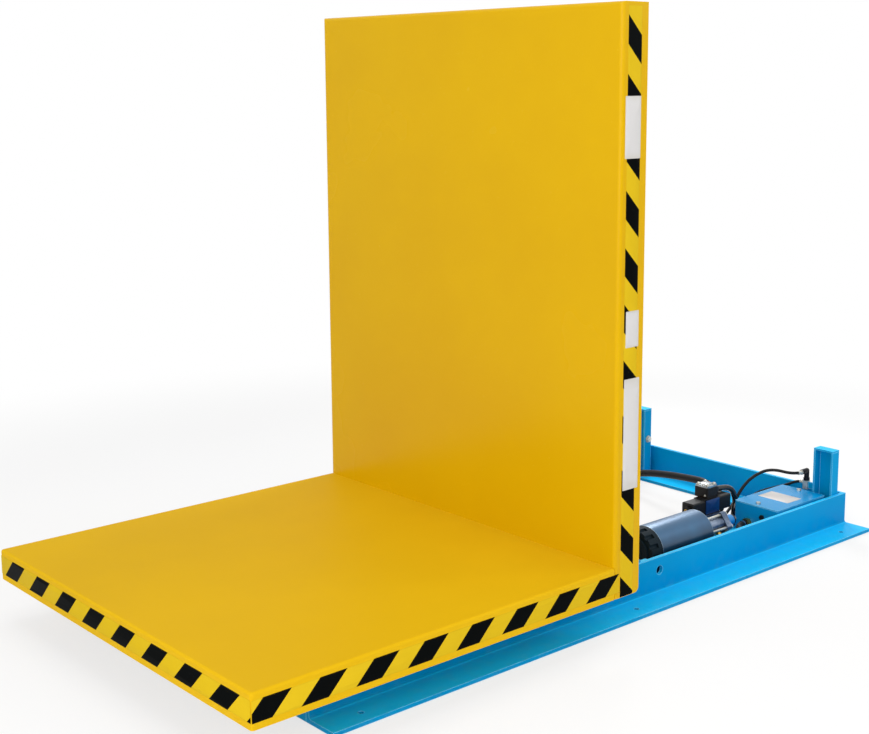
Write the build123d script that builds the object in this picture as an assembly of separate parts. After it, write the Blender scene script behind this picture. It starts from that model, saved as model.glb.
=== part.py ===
from build123d import *
from math import atan2, cos, degrees, hypot, pi, radians, sin, tan
import os

# Millimetres, +Z up. The pieces are modelled with x = 0 on the upright deck's loading face, +X to the rear,
# and are moved on export so that the origin is the middle of the whole machine on the floor.

# Carriage: loading deck and upright deck
DECK_W = 1219.0
DECK_L = 1108.0
DECK_TOP = 207.0
SKIRT_H = 83.0
PLATE_T = 6.0
DECK_BEND_R = 7.0
UPRIGHT_H = 1430.0
UPRIGHT_D = 94.0
UPRIGHT_BEND_R = 11.0
UPRIGHT_TOE_R = 15.0
RELIEF_W = 4.0
RIB_T = 12.0
DECK_RIB_H = 60.0
DECK_RIB_Y = (110.0, 290.0)
DECK_RIB_NOSE_H = 50.0

# Base frame
RAIL_Y = 446.0
RAIL_H = 110.0
FLANGE_W = 105.0
ANGLE_T = 11.0
ANGLE_ROOT_R = 8.0
RAIL_FRONT = 850.0
RAIL_REAR = 1306.0
CROSS_W = 100.0
ANCHOR_HOLE_X = (-740.0, 217.0, 1207.0)
ANCHOR_HOLE_Y = 498.0
ANCHOR_HOLE_D = 15.0
WEB_HOLE_X = 374.0
WEB_HOLE_Z = 71.0
WEB_HOLE_D = 27.0
POST_TOP = 258.0
POST_W = 72.0
POST_D = 36.0
POST_T = 6.0
POST_GAP = 20.0
CAP_T = 6.0
POST_BOLT_Z = 145.0
POST_BOLT_D = 10.0
POST_BOLT_HEAD_D = 18.0
POST_BOLT_HEAD_H = 7.0
POST_WASHER_D = 25.0
POST_WASHER_T = 2.5

# Pivot
PIVOT_X = 272.0
SHAFT_D = 50.0
BUSH_T = 5.0
BOSS_R = 45.0
ARM_T = 16.0
ARM_TOP = 420.0
ARM_BACK_Z = 290.0
ARM_FOOT_RISE = 6.0
HOUSING_L = 27.5
HOUSING_PAD_T = 8.0
HOUSING_PAD_W = 120.0

# Cylinders
CYL_Y = 200.0
BASE_PIN_Z = 75.0
LEVER_X = 202.0
LEVER_Z = 160.0
TILT = 90.0
BARREL_L = 300.0
GLAND_ROOM = 10.0
BARREL_D = 89.0
BORE_D = 76.0
LUG_TO_CAP = 3.0
EYE_NECK_H = 54.0
CAP_FACE = 60.0
GLAND_L = 42.0
GLAND_COLLAR_T = 6.0
GLAND_COLLAR_D = 84.0
ROD_D = 38.0
SPIGOT_D = 24.0
PISTON_L = 35.0
PISTON_START = 3.0
EYE_W = 40.0
BASE_EYE_D = 70.0
ROD_EYE_D = 64.0
PIN_D = 32.0
COLLAR_D = 58.0
COLLAR_T = 6.0
LEVER_T = 16.0
LEVER_BOSS_R = 46.0
LEVER_BACK_Z = 250.0
LUG_T = 14.0
LUG_R = 34.0
NOTCH_W = 100.0
ANCHOR_BAR_T = 20.0
ANCHOR_BAR_FRONT = 60.0
ANCHOR_BAR_REAR = 60.0
PORT_D = 24.0
PORT_L = 12.0
CAP_PORT_AT = 78.0
ROD_PORT_AT = 246.0
ROD_PORT_OUT = 20.0
OUTLET_NECK_D = 20.0

# Clearances
REST_GAP = 0.3
RUN_CLEAR = 0.05
SEAT_CLEAR = 0.05
SIDE_CLEAR = 0.6
SLOT_CLEAR = 0.6

# Power unit
UNIT_Y = -335.0
TRAY_T = 5.0
TRAY_FRONT = 385.0
TRAY_W = 245.0
TRAY_LIP_H = 9.0
MOTOR_Z = 90.0
MOTOR_D = 139.0
MOTOR_FRONT = 440.0
MOTOR_REAR = 673.0
MOTOR_WALL = 6.0
MOTOR_END_T = 8.0
BELL_T = 48.0
BELL_CROWN_T = 6.0
BELL_CROWN_D = 104.0
BELL_SCALLOPS = 14
BELL_SCALLOP_D = 14.0
SHAFT_DRIVE_D = 12.0
ROTOR_D = 118.0
ROTOR_END_GAP = 30.0
CRADLE_T = 20.0
CRADLE_W = 120.0
CRADLE_H = 44.0
CRADLE_INSET = 25.0
PUMP_FLANGE_T = 18.0
PUMP_BODY_L = 79.0
PUMP_COVER_T = 22.0
PUMP_SIDE = 60.0
PUMP_EDGE_R = 10.0
PUMP_LOBE_R = 18.0
PUMP_BOSS_D = 34.0
PUMP_BOSS_L = 40.0
GEAR_WAY = 145.0
GEAR_CENTRES = 20.0
GEAR_TIP_R = 11.2
GEAR_ROOT_R = 8.1
GEAR_TEETH = 10
GEAR_W = 32.0
GEAR_CLEAR = 0.3
TOOTH_ROOT_W = 2.5
TOOTH_TIP_W = 1.2
SHAFT_SEAT = 12.0
TIE_BOLT_D = 8.0
TIE_BOLT_HEAD_D = 13.0
TIE_BOLT_HEAD_H = 6.0
TIE_BOLT_EDGE = 9.0
MANIFOLD_X0 = 766.0
MANIFOLD_L = 130.0
MANIFOLD_W = 67.0
MANIFOLD_TOP = 90.0
OUTLET_D = 16.0
OUTLET_Z = 80.0
VALVE_X0 = 823.0
VALVE_L = 69.0
VALVE_Y = -228.0
VALVE_W = 48.0
VALVE_H = 48.0
SPOOL_D = 14.0
SPOOL_NECK_D = 9.0
SPOOL_Z = 24.0
COIL_L = 58.0
COIL_W = 46.0
COIL_R = 5.0
COIL_NUT_D = 26.0
COIL_NUT_L = 10.0
COIL_BORE_D = 18.0
COIL_BORE_L = 26.0
SPOOL_REACH = 20.0
BOX_X0 = 843.0
BOX_Y = -216.0
BOX_L = 52.0
BOX_W = 53.0
BOX_H = 32.0
BOX_R = 4.0
BOX_COVER_T = 8.0

# Tank
TANK_X0 = 975.0
TANK_L = 258.0
TANK_NEAR = -416.0
TANK_W = 166.0
TANK_TOP = 110.0
TANK_WALL = 3.0
TANK_EDGE_R = 5.0
LID_T = 3.0
LID_SCREW_IN = 19.0
LID_SCREW_D = 6.0
LID_SCREW_HEAD_D = 13.0
LID_SCREW_HEAD_H = 6.0
LID_SCREW_Y = -328.0
LID_TAB = 24.0
LID_TAB_T = 8.0
SUCTION_Y = -304.0
SUCTION_Z = 48.0
SUCTION_FIT_D = 26.0
SUCTION_FIT_L = 16.0
SUCTION_THREAD_D = 20.0
SUCTION_THREAD_IN = 10.0
SUCTION_HOSE_D = 20.0
SUCTION_ELBOW_D = 18.0
SUCTION_DROP = 30.0
SUCTION_REACH = 40.0
PLUG_Y = -358.0
PLUG_Z = 76.0
PLUG_D = 10.0
PLUG_L = 12.0
PLUG_HEAD_D = 15.0
PLUG_HEAD_H = 6.0

# Return fitting on the near post
FIT_BLOCK_L = 16.0
FIT_BLOCK_W = 18.0
FIT_BLOCK_H = 29.0
FIT_BLOCK_Z = 108.0
FIT_BLOCK_X = 1257.0
FIT_TAB_L = 27.0
FIT_TAB_T = 6.0
FIT_TAB_IN = 4.0
ELBOW_D = 17.0
ELBOW_RISE = 41.5
ELBOW_REACH = 30.0
ELBOW_NUT_D = 21.0
ELBOW_NUT_L = 9.0

# Hoses and cable
RETURN_HOSE_D = 10.0
DRAIN_HOSE_D = 9.0
CYL_HOSE_D = 24.0
CABLE_D = 18.0
JUMPER_D = 12.0
RUN_SHARE = 0.45
HOSE_RAIL_Y = 412.0
HOSE_RAIL_Z = 20.0
CLIP_X = (800.0, 450.0, 100.0)
CLIP_L = 18.0
CLIP_WALL = 4.0
JUNCTION_L = 75.0
JUNCTION_W = 90.0
JUNCTION_H = 55.0
JUMPER_Y = 28.0
JUMPER_Z = 60.0
JUMPER_CAP_IN = 10.0
JUMPER_CAP_LEAD = 38.0
JUMPER_ROD_LEAD = 55.0

# Places worked out from the sizes above
FACE_X = (DECK_L - RAIL_REAR) / 2
DECK_BOTTOM = DECK_TOP - SKIRT_H
PLATE_UNDER = DECK_TOP - PLATE_T
UPRIGHT_TOP = DECK_TOP + UPRIGHT_H
RAIL_INNER = RAIL_Y - ANGLE_T
POST_X1 = RAIL_REAR - ANGLE_T - POST_GAP
POST_X0 = POST_X1 - POST_D
POST_IN = RAIL_INNER - POST_W
PIVOT_Z = POST_TOP + REST_GAP + UPRIGHT_D - PIVOT_X
HOUSING_IN = RAIL_INNER - HOUSING_L
ARM_OUT = HOUSING_IN - SIDE_CLEAR
ARM_Y = ARM_OUT - ARM_T / 2
BASE_PIN_X = -(BARREL_L + GLAND_ROOM)
RUN_X = LEVER_X - BASE_PIN_X
RUN_Z = LEVER_Z - BASE_PIN_Z
PIN_SPAN = hypot(RUN_X, RUN_Z)
CYL_ANGLE = degrees(atan2(RUN_Z, RUN_X))
LEVER_IN = EYE_W / 2 + SIDE_CLEAR
LEVER_OUT = LEVER_IN + LEVER_T
TRAY_Z = ANGLE_T
TRAY_TOP = TRAY_Z + TRAY_T
TRAY_FAR = -RAIL_INNER + TRAY_W
PUMP_X1 = MOTOR_REAR + PUMP_FLANGE_T + PUMP_BODY_L
PUMP_REAR = PUMP_X1 + PUMP_COVER_T
IDLER_Y = UNIT_Y + GEAR_CENTRES * cos(radians(GEAR_WAY))
IDLER_Z = MOTOR_Z + GEAR_CENTRES * sin(radians(GEAR_WAY))
GEAR_PLACES = ((UNIT_Y, MOTOR_Z), (IDLER_Y, IDLER_Z))
PUMP_Y = (UNIT_Y + IDLER_Y) / 2
PUMP_Z = (MOTOR_Z + IDLER_Z) / 2
PUMP_PORT_X = PUMP_X1 + PUMP_COVER_T / 2
SUCTION_X = PUMP_X1 - GEAR_CLEAR - GEAR_W / 2
MANIFOLD_X1 = MANIFOLD_X0 + MANIFOLD_L
MANIFOLD_NEAR = VALVE_Y - MANIFOLD_W / 2
MANIFOLD_FAR = VALVE_Y + MANIFOLD_W / 2
VALVE_X1 = VALVE_X0 + VALVE_L
VALVE_TOP = MANIFOLD_TOP + VALVE_H
BOX_X1 = BOX_X0 + BOX_L
BOX_TOP = VALVE_TOP + BOX_H
TANK_X1 = TANK_X0 + TANK_L
TANK_FAR = TANK_NEAR + TANK_W
LID_Z = TANK_TOP - LID_T
FIT_TOP = FIT_BLOCK_Z + FIT_BLOCK_H
FIT_Y = -POST_IN + FIT_TAB_L + FIT_BLOCK_W / 2
ELBOW_Z = FIT_TOP + ELBOW_RISE - ELBOW_D / 2
ELBOW_X = FIT_BLOCK_X - ELBOW_REACH
JUNCTION_X1 = BASE_PIN_X + ANCHOR_BAR_REAR
JUNCTION_X0 = JUNCTION_X1 - JUNCTION_L
JUNCTION_TOP = ANCHOR_BAR_T + JUNCTION_H

nodes = {}


def put(name, *solids):
    moved = [Pos(FACE_X, 0, 0) * s for solid in solids for s in solid.solids()]
    nodes[name] = moved[0] if len(moved) == 1 else Compound(children=moved)


def block(x0, x1, y0, y1, z0, z1):
    return Pos((x0 + x1) / 2, (y0 + y1) / 2, (z0 + z1) / 2) * Box(x1 - x0, y1 - y0, z1 - z0)


def bar_x(x0, x1, y, z, d):
    return Pos((x0 + x1) / 2, y, z) * Rot(0, 90, 0) * Cylinder(d / 2, x1 - x0)


def bar_y(x, y0, y1, z, d):
    return Pos(x, (y0 + y1) / 2, z) * Rot(90, 0, 0) * Cylinder(d / 2, y1 - y0)


def bar_z(x, y, z0, z1, d):
    return Pos(x, y, (z0 + z1) / 2) * Cylinder(d / 2, z1 - z0)


def hex_x(x0, x1, y, z, across):
    outline = Pos(y, z) * RegularPolygon(across / 2, 6, major_radius=False)
    return extrude(Plane.YZ.offset(x0) * outline, x1 - x0)


def plate_xz(outline, y0, y1):
    return extrude(Plane.XZ.offset(-y1) * outline, y1 - y0, dir=(0, -1, 0))


def plate_yz(outline, x0, x1):
    return extrude(Plane.YZ.offset(x0) * outline, x1 - x0, dir=(1, 0, 0))


def far_side(shape):
    return mirror(shape, about=Plane.XZ)


def hose(name, route, diameter):
    """Round tube on straight runs joined by the largest arcs that the runs allow."""
    points = [Vector(*p) for p in route]
    radii = []
    for a, b, c in zip(points, points[1:], points[2:]):
        half_turn = radians((b - a).get_angle(c - b)) / 2
        radii.append(RUN_SHARE * min((b - a).length, (c - b).length) / tan(half_turn))
    path = FilletPolyline(*points, radius=radii)
    tube = sweep(Plane(origin=path @ 0, z_dir=path % 0) * Circle(diameter / 2), path=path)
    share = tube.volume / (pi * diameter ** 2 / 4 * path.length)
    print(f"{name}: length {path.length:.0f}, least radius {min(radii):.0f}, volume share {share:.4f}")
    return tube


# Carriage

def loading_deck():
    shell = block(-DECK_L, 0, -DECK_W / 2, DECK_W / 2, DECK_BOTTOM, DECK_TOP)
    top_edges = shell.faces().sort_by(Axis.Z)[-1].edges().sort_by(Axis.X)[:3]
    front_corners = shell.edges().filter_by(Axis.Z).sort_by(Axis.X)[:2]
    shell = fillet(top_edges + front_corners, DECK_BEND_R)
    side = DECK_W / 2 - PLATE_T
    return shell - block(-DECK_L + PLATE_T, PLATE_T, -side, side, DECK_BOTTOM - PLATE_T, PLATE_UNDER)


def upright_deck():
    shell = block(0, UPRIGHT_D, -DECK_W / 2, DECK_W / 2, DECK_BOTTOM, UPRIGHT_TOP)
    toe = shell.faces().sort_by(Axis.X)[-1].edges().sort_by(Axis.Z)[:1]
    shell = fillet(toe, UPRIGHT_TOE_R)
    shell = fillet(shell.faces().sort_by(Axis.X)[0].edges().sort_by(Axis.Z)[1:], UPRIGHT_BEND_R)
    side = DECK_W / 2 - PLATE_T
    hollow = block(PLATE_T, UPRIGHT_D + PLATE_T, -side, side, DECK_BOTTOM - PLATE_T, UPRIGHT_TOP - PLATE_T)
    hollow = fillet(hollow.faces().sort_by(Axis.X)[0].edges().sort_by(Axis.Z)[1:], UPRIGHT_BEND_R - PLATE_T)
    shell -= hollow
    for way in (-1, 1):
        slit = way * (side - RELIEF_W / 2)
        shell -= block(UPRIGHT_BEND_R, UPRIGHT_D + PLATE_T, slit - RELIEF_W / 2, slit + RELIEF_W / 2,
                       UPRIGHT_TOP - 2 * PLATE_T, UPRIGHT_TOP + PLATE_T)
        y = way * CYL_Y
        shell -= block(-PLATE_T, 2 * PLATE_T, y - NOTCH_W / 2, y + NOTCH_W / 2, 0, PLATE_UNDER)
    return shell


def deck_ribs():
    nose = -DECK_L + PLATE_T
    edge_y = RAIL_Y - ANGLE_T / 2
    rest = RAIL_H + REST_GAP
    edge = Polygon((nose, PLATE_UNDER), (nose, PLATE_UNDER - DECK_RIB_NOSE_H), (-RAIL_FRONT, rest),
                   (0, rest), (0, PLATE_UNDER), align=None)
    ribs = [plate_xz(edge, edge_y - RIB_T / 2, edge_y + RIB_T / 2)]
    for y in DECK_RIB_Y:
        ribs.append(block(nose, 0, y - RIB_T / 2, y + RIB_T / 2, PLATE_UNDER - DECK_RIB_H, PLATE_UNDER))
    return ribs + [far_side(r) for r in ribs]


def upright_ribs():
    top = UPRIGHT_TOP - UPRIGHT_BEND_R
    side = block(PLATE_T, UPRIGHT_D, ARM_Y - RIB_T / 2, ARM_Y + RIB_T / 2, ARM_TOP, top)
    middle = block(PLATE_T, UPRIGHT_D, -RIB_T / 2, RIB_T / 2, DECK_TOP, top)
    return [side, middle, far_side(side)]


def on_boss(radius, angle):
    return (PIVOT_X + radius * cos(radians(angle)), PIVOT_Z + radius * sin(radians(angle)))


def pivot_arm():
    foot = DECK_BOTTOM + ARM_FOOT_RISE
    outline = Polygon((PLATE_T, foot), (UPRIGHT_D, foot), on_boss(BOSS_R, 250), on_boss(BOSS_R, 45),
                      (UPRIGHT_D, ARM_BACK_Z), (UPRIGHT_D, ARM_TOP), (PLATE_T, ARM_TOP), align=None)
    outline += Pos(PIVOT_X, PIVOT_Z) * Circle(BOSS_R)
    outline -= Pos(PIVOT_X, PIVOT_Z) * Circle(SHAFT_D / 2 + SEAT_CLEAR)
    return plate_xz(outline, ARM_OUT - ARM_T, ARM_OUT)


def lever_radius():
    return hypot(LEVER_X - PIVOT_X, LEVER_Z - PIVOT_Z)


def full_lever_place(turn):
    """Where a lever point that starts at the rod pin is after the carriage has turned."""
    dx, dz = LEVER_X - PIVOT_X, LEVER_Z - PIVOT_Z
    c, s = cos(radians(turn)), sin(radians(turn))
    return PIVOT_X + dx * c + dz * s, PIVOT_Z - dx * s + dz * c


END_X, END_Z = full_lever_place(TILT)
STROKE = hypot(END_X - BASE_PIN_X, END_Z - BASE_PIN_Z) - PIN_SPAN
SWING = CYL_ANGLE - degrees(atan2(END_Z - BASE_PIN_Z, END_X - BASE_PIN_X))


def pin_track(steps=18):
    """Places of the rod pin in the lever while swing and stroke keep a steady ratio to the tilt."""
    dx, dz = (LEVER_X - PIVOT_X) / lever_radius(), (LEVER_Z - PIVOT_Z) / lever_radius()
    track = []
    for i in range(steps + 1):
        part = i / steps
        span, lift = PIN_SPAN + STROKE * part, radians(CYL_ANGLE - SWING * part)
        px, pz = BASE_PIN_X + span * cos(lift) - PIVOT_X, BASE_PIN_Z + span * sin(lift) - PIVOT_Z
        c, s = cos(radians(TILT * part)), sin(radians(TILT * part))
        ux, uz = px * c - pz * s, px * s + pz * c
        track.append((ux * dx + uz * dz, uz * dx - ux * dz))
    return track


def lever_plates():
    foot = DECK_BOTTOM + ARM_FOOT_RISE
    radial = [r for r, _ in pin_track()]
    sideways = [s for _, s in pin_track()]
    slot_w = PIN_D + max(sideways) - min(sideways) + 2 * SLOT_CLEAR
    slot_l = max(radial) - min(radial) + PIN_D + 2 * SLOT_CLEAR
    slot_at = Pos((max(radial) + min(radial)) / 2, (max(sideways) + min(sideways)) / 2)
    lever_turn = degrees(atan2(LEVER_Z - PIVOT_Z, LEVER_X - PIVOT_X))
    outline = Polygon((PLATE_T, foot), (UPRIGHT_D, foot), on_boss(BOSS_R, 250), on_boss(BOSS_R, 45),
                      (LEVER_X, LEVER_Z + LEVER_BOSS_R), (UPRIGHT_D, LEVER_BACK_Z), (UPRIGHT_D, ARM_TOP),
                      (PLATE_T, ARM_TOP), align=None)
    outline += Pos(LEVER_X, LEVER_Z) * Circle(LEVER_BOSS_R)
    outline += Pos(PIVOT_X, PIVOT_Z) * Circle(BOSS_R)
    outline -= Pos(PIVOT_X, PIVOT_Z) * Circle(SHAFT_D / 2 + SEAT_CLEAR)
    slot = Rectangle(slot_l - slot_w, slot_w) if slot_l > slot_w else Circle(slot_w / 2)
    reach = max(slot_l - slot_w, 0) / 2
    for end in (-reach, reach):
        slot += Pos(end, 0) * Circle(slot_w / 2)
    outline -= Pos(PIVOT_X, PIVOT_Z) * Rot(0, 0, lever_turn) * slot_at * slot
    print(f"lever slot: {slot_l:.1f} by {slot_w:.1f}")
    plates = []
    for y in (-CYL_Y, CYL_Y):
        plates.append(plate_xz(outline, y - LEVER_OUT, y - LEVER_IN))
        plates.append(plate_xz(outline, y + LEVER_IN, y + LEVER_OUT))
    return plates


put("horizontal_deck", loading_deck())
put("upright_deck", upright_deck())
put("deck_ribs", *deck_ribs())
put("upright_ribs", *upright_ribs())
put("pivot_arms", pivot_arm(), far_side(pivot_arm()))
shaft_end = RAIL_INNER - SIDE_CLEAR
put("pivot_shaft", bar_y(PIVOT_X, -shaft_end, shaft_end, PIVOT_Z, SHAFT_D))
put("lever_plates", *lever_plates())


# Base frame

def rail():
    outline = Polygon((-RAIL_INNER, 0), (-RAIL_INNER, RAIL_H), (-RAIL_Y, RAIL_H), (-RAIL_Y, ANGLE_T),
                      (-RAIL_INNER - FLANGE_W, ANGLE_T), (-RAIL_INNER - FLANGE_W, 0), align=None)
    root = outline.vertices().sort_by_distance((-RAIL_Y, ANGLE_T, 0))[0]
    angle = plate_yz(fillet(root, ANGLE_ROOT_R), -RAIL_FRONT, RAIL_REAR)
    for x in ANCHOR_HOLE_X:
        angle -= bar_z(x, -ANCHOR_HOLE_Y, -ANGLE_T, 2 * ANGLE_T, ANCHOR_HOLE_D)
    return angle - bar_y(WEB_HOLE_X, -RAIL_Y - ANGLE_T, -RAIL_INNER + ANGLE_T, WEB_HOLE_Z, WEB_HOLE_D)


def cross_angle(heel_x, way):
    """Angle between the rails: upright leg at heel_x, floor leg pointing the given way along X."""
    outline = Polygon((heel_x, 0), (heel_x, RAIL_H), (heel_x + way * ANGLE_T, RAIL_H),
                      (heel_x + way * ANGLE_T, ANGLE_T), (heel_x + way * CROSS_W, ANGLE_T),
                      (heel_x + way * CROSS_W, 0), align=None)
    return plate_xz(outline, -RAIL_INNER, RAIL_INNER)


def post():
    """Channel with its open side to the front."""
    y0, y1 = -RAIL_INNER, -POST_IN
    shape = block(POST_X0, POST_X1, y0, y1, ANGLE_T, POST_TOP - CAP_T)
    return shape - block(POST_X0 - POST_T, POST_X1 - POST_T, y0 + POST_T, y1 - POST_T, 0, POST_TOP)


def near_post():
    """Post with the welded tab that carries the return fitting."""
    half = FIT_TAB_T / 2
    return post() + block(FIT_BLOCK_X - half, FIT_BLOCK_X + half, -POST_IN, -POST_IN + FIT_TAB_L,
                          FIT_BLOCK_Z + FIT_TAB_IN, FIT_TOP - FIT_TAB_IN)


def far_post():
    hole_x = (POST_X0 + POST_X1) / 2
    return far_side(post()) - bar_y(hole_x, POST_IN - POST_T, POST_IN + 2 * POST_T, POST_BOLT_Z,
                                    POST_BOLT_D + 2 * SEAT_CLEAR)


def post_bolt():
    """Bolt through the far post's inner flange, with its head and washer towards the middle."""
    x, face = (POST_X0 + POST_X1) / 2, POST_IN
    washer_face = face - POST_WASHER_T
    head_face = washer_face - POST_BOLT_HEAD_H
    head = extrude(Plane.XZ.offset(-washer_face) * Pos(x, POST_BOLT_Z)
                   * RegularPolygon(POST_BOLT_HEAD_D / 2, 6, major_radius=False), washer_face - head_face)
    nut = bar_y(x, face + POST_T, face + POST_T + POST_BOLT_HEAD_H, POST_BOLT_Z, POST_BOLT_HEAD_D)
    return (head + bar_y(x, washer_face, face, POST_BOLT_Z, POST_WASHER_D)
            + bar_y(x, washer_face, face + POST_T, POST_BOLT_Z, POST_BOLT_D) + nut)


def pivot_housing():
    bore = SHAFT_D / 2 + RUN_CLEAR + BUSH_T + SEAT_CLEAR
    half = HOUSING_PAD_W / 2
    pad = block(PIVOT_X - half, PIVOT_X + half, RAIL_INNER - HOUSING_PAD_T, RAIL_INNER,
                PIVOT_Z - BOSS_R, RAIL_H)
    boss = bar_y(PIVOT_X, HOUSING_IN, RAIL_INNER, PIVOT_Z, 2 * BOSS_R)
    return pad + boss - bar_y(PIVOT_X, HOUSING_IN - 1, RAIL_INNER + 1, PIVOT_Z, 2 * bore)


def pivot_bush():
    outer = SHAFT_D + 2 * RUN_CLEAR + 2 * BUSH_T
    tube = bar_y(PIVOT_X, HOUSING_IN, RAIL_INNER, PIVOT_Z, outer)
    return tube - bar_y(PIVOT_X, HOUSING_IN - 1, RAIL_INNER + 1, PIVOT_Z, SHAFT_D + 2 * RUN_CLEAR)


def anchor_lug(y0, y1):
    rise = BASE_PIN_Z - ANCHOR_BAR_T
    outline = Pos(BASE_PIN_X, ANCHOR_BAR_T + rise / 2) * Rectangle(2 * LUG_R, rise)
    outline += Pos(BASE_PIN_X, BASE_PIN_Z) * Circle(LUG_R)
    outline -= Pos(BASE_PIN_X, BASE_PIN_Z) * Circle(PIN_D / 2 + SEAT_CLEAR)
    return plate_xz(outline, y0, y1)


put("rail_near", rail())
put("rail_far", far_side(rail()))
put("front_cross_member", cross_angle(-RAIL_FRONT, 1))
put("rear_cross_member", cross_angle(RAIL_REAR, -1))
put("anchor_cross_member", block(BASE_PIN_X - ANCHOR_BAR_FRONT, BASE_PIN_X + ANCHOR_BAR_REAR,
                                 -RAIL_INNER, RAIL_INNER, 0, ANCHOR_BAR_T))
put("posts", near_post(), far_post())
cap = block(POST_X0, POST_X1, -RAIL_INNER, -POST_IN, POST_TOP - CAP_T, POST_TOP)
put("post_caps", cap, far_side(cap))
put("post_bolt", post_bolt())
put("pivot_housings", pivot_housing(), far_side(pivot_housing()))
put("pivot_bushes", pivot_bush(), far_side(pivot_bush()))
lug_in = EYE_W / 2 + SIDE_CLEAR
lug_out = lug_in + LUG_T
put("anchor_lugs", *[anchor_lug(y + a, y + b) for y in (-CYL_Y, CYL_Y)
                     for a, b in ((-lug_out, -lug_in), (lug_in, lug_out))])
put("anchor_pins", *[bar_y(BASE_PIN_X, y - lug_out, y + lug_out, BASE_PIN_Z, PIN_D)
                     for y in (-CYL_Y, CYL_Y)])


# Cylinders: modelled along +X from the base pin, then raised to the resting angle

def along_cylinder(shape, y):
    return Pos(BASE_PIN_X, y, BASE_PIN_Z) * Rot(0, -CYL_ANGLE, 0) * shape


def barrel(inward):
    """Tube with welded cap, base eye and two ports on the side that faces the middle of the machine."""
    back = LUG_R + LUG_TO_CAP
    body = bar_x(back, BARREL_L, 0, 0, BARREL_D) + bar_y(0, -EYE_W / 2, EYE_W / 2, 0, BASE_EYE_D)
    body += block(0, back, -EYE_W / 2, EYE_W / 2, -EYE_NECK_H / 2, EYE_NECK_H / 2)
    port_end = BARREL_D / 2 + PORT_L
    rod_port_end = port_end + PORT_D / 2
    body += bar_y(CAP_PORT_AT, *sorted((0, inward * port_end)), 0, PORT_D)
    body += bar_y(ROD_PORT_AT, *sorted((0, inward * rod_port_end)), 0, PORT_D)
    body += bar_x(ROD_PORT_AT - ROD_PORT_OUT, ROD_PORT_AT, inward * port_end, 0, OUTLET_NECK_D)
    body -= bar_x(CAP_FACE, BARREL_L + 1, 0, 0, BORE_D)
    return body - bar_y(0, -EYE_W, EYE_W, 0, PIN_D + 2 * RUN_CLEAR)


def gland():
    plug = bar_x(BARREL_L - GLAND_L, BARREL_L, 0, 0, BORE_D - 2 * SEAT_CLEAR)
    plug += bar_x(BARREL_L, BARREL_L + GLAND_COLLAR_T, 0, 0, GLAND_COLLAR_D)
    return plug - bar_x(0, 2 * BARREL_L, 0, 0, ROD_D + 2 * RUN_CLEAR)


def piston():
    x0 = CAP_FACE + PISTON_START
    ring = bar_x(x0, x0 + PISTON_L, 0, 0, BORE_D - 2 * RUN_CLEAR)
    return ring - bar_x(0, BARREL_L, 0, 0, SPIGOT_D + 2 * SEAT_CLEAR)


def piston_rod():
    x0 = CAP_FACE + PISTON_START
    shape = bar_x(x0, x0 + PISTON_L, 0, 0, SPIGOT_D) + bar_x(x0 + PISTON_L, PIN_SPAN, 0, 0, ROD_D)
    shape += bar_y(PIN_SPAN, -EYE_W / 2, EYE_W / 2, 0, ROD_EYE_D)
    return shape - bar_y(PIN_SPAN, -EYE_W, EYE_W, 0, PIN_D + 2 * SEAT_CLEAR)


def rod_pin():
    plate = LEVER_OUT + SIDE_CLEAR
    pin = bar_y(PIN_SPAN, -plate - COLLAR_T, plate + COLLAR_T, 0, PIN_D)
    for way in (-1, 1):
        mid = way * (plate + COLLAR_T / 2)
        pin += bar_y(PIN_SPAN, mid - COLLAR_T / 2, mid + COLLAR_T / 2, 0, COLLAR_D)
    return pin


for side, inward in (("near", 1), ("far", -1)):
    y = -inward * CYL_Y
    put(f"cylinder_barrel_{side}", along_cylinder(barrel(inward), y))
    put(f"cylinder_gland_{side}", along_cylinder(gland(), y))
    put(f"piston_{side}", along_cylinder(piston(), y))
    put(f"piston_rod_{side}", along_cylinder(piston_rod(), y))
    put(f"rod_pin_{side}", along_cylinder(rod_pin(), y))


# Power unit

def tray():
    plate = block(TRAY_FRONT, POST_X0 - SIDE_CLEAR, -RAIL_INNER, TRAY_FAR, TRAY_Z, TRAY_TOP)
    lip_end = RAIL_REAR - CROSS_W - SIDE_CLEAR
    return plate + block(TRAY_FRONT, lip_end, TRAY_FAR - TRAY_T, TRAY_FAR, TRAY_Z - TRAY_LIP_H, TRAY_Z)


def motor_shell():
    shell = bar_x(MOTOR_FRONT, MOTOR_REAR, UNIT_Y, MOTOR_Z, MOTOR_D)
    shell -= bar_x(MOTOR_FRONT - 1, MOTOR_REAR - MOTOR_END_T, UNIT_Y, MOTOR_Z, MOTOR_D - 2 * MOTOR_WALL)
    return shell - bar_x(MOTOR_FRONT, MOTOR_REAR + 1, UNIT_Y, MOTOR_Z, SHAFT_DRIVE_D + 2 * RUN_CLEAR)


def motor_end_bell():
    x1, x0 = MOTOR_FRONT, MOTOR_FRONT - BELL_T
    bell = bar_x(x0, x1, UNIT_Y, MOTOR_Z, MOTOR_D)
    bell += bar_x(x0 - BELL_CROWN_T, x0, UNIT_Y, MOTOR_Z, BELL_CROWN_D)
    for i in range(BELL_SCALLOPS):
        turn = 2 * pi * i / BELL_SCALLOPS
        y, z = UNIT_Y + MOTOR_D / 2 * cos(turn), MOTOR_Z + MOTOR_D / 2 * sin(turn)
        bell -= bar_x(x0 - 1, x1 - BELL_T / 3, y, z, BELL_SCALLOP_D)
    return bell - bar_x(x0, x1 + 1, UNIT_Y, MOTOR_Z, SHAFT_DRIVE_D + 2 * RUN_CLEAR)


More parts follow.
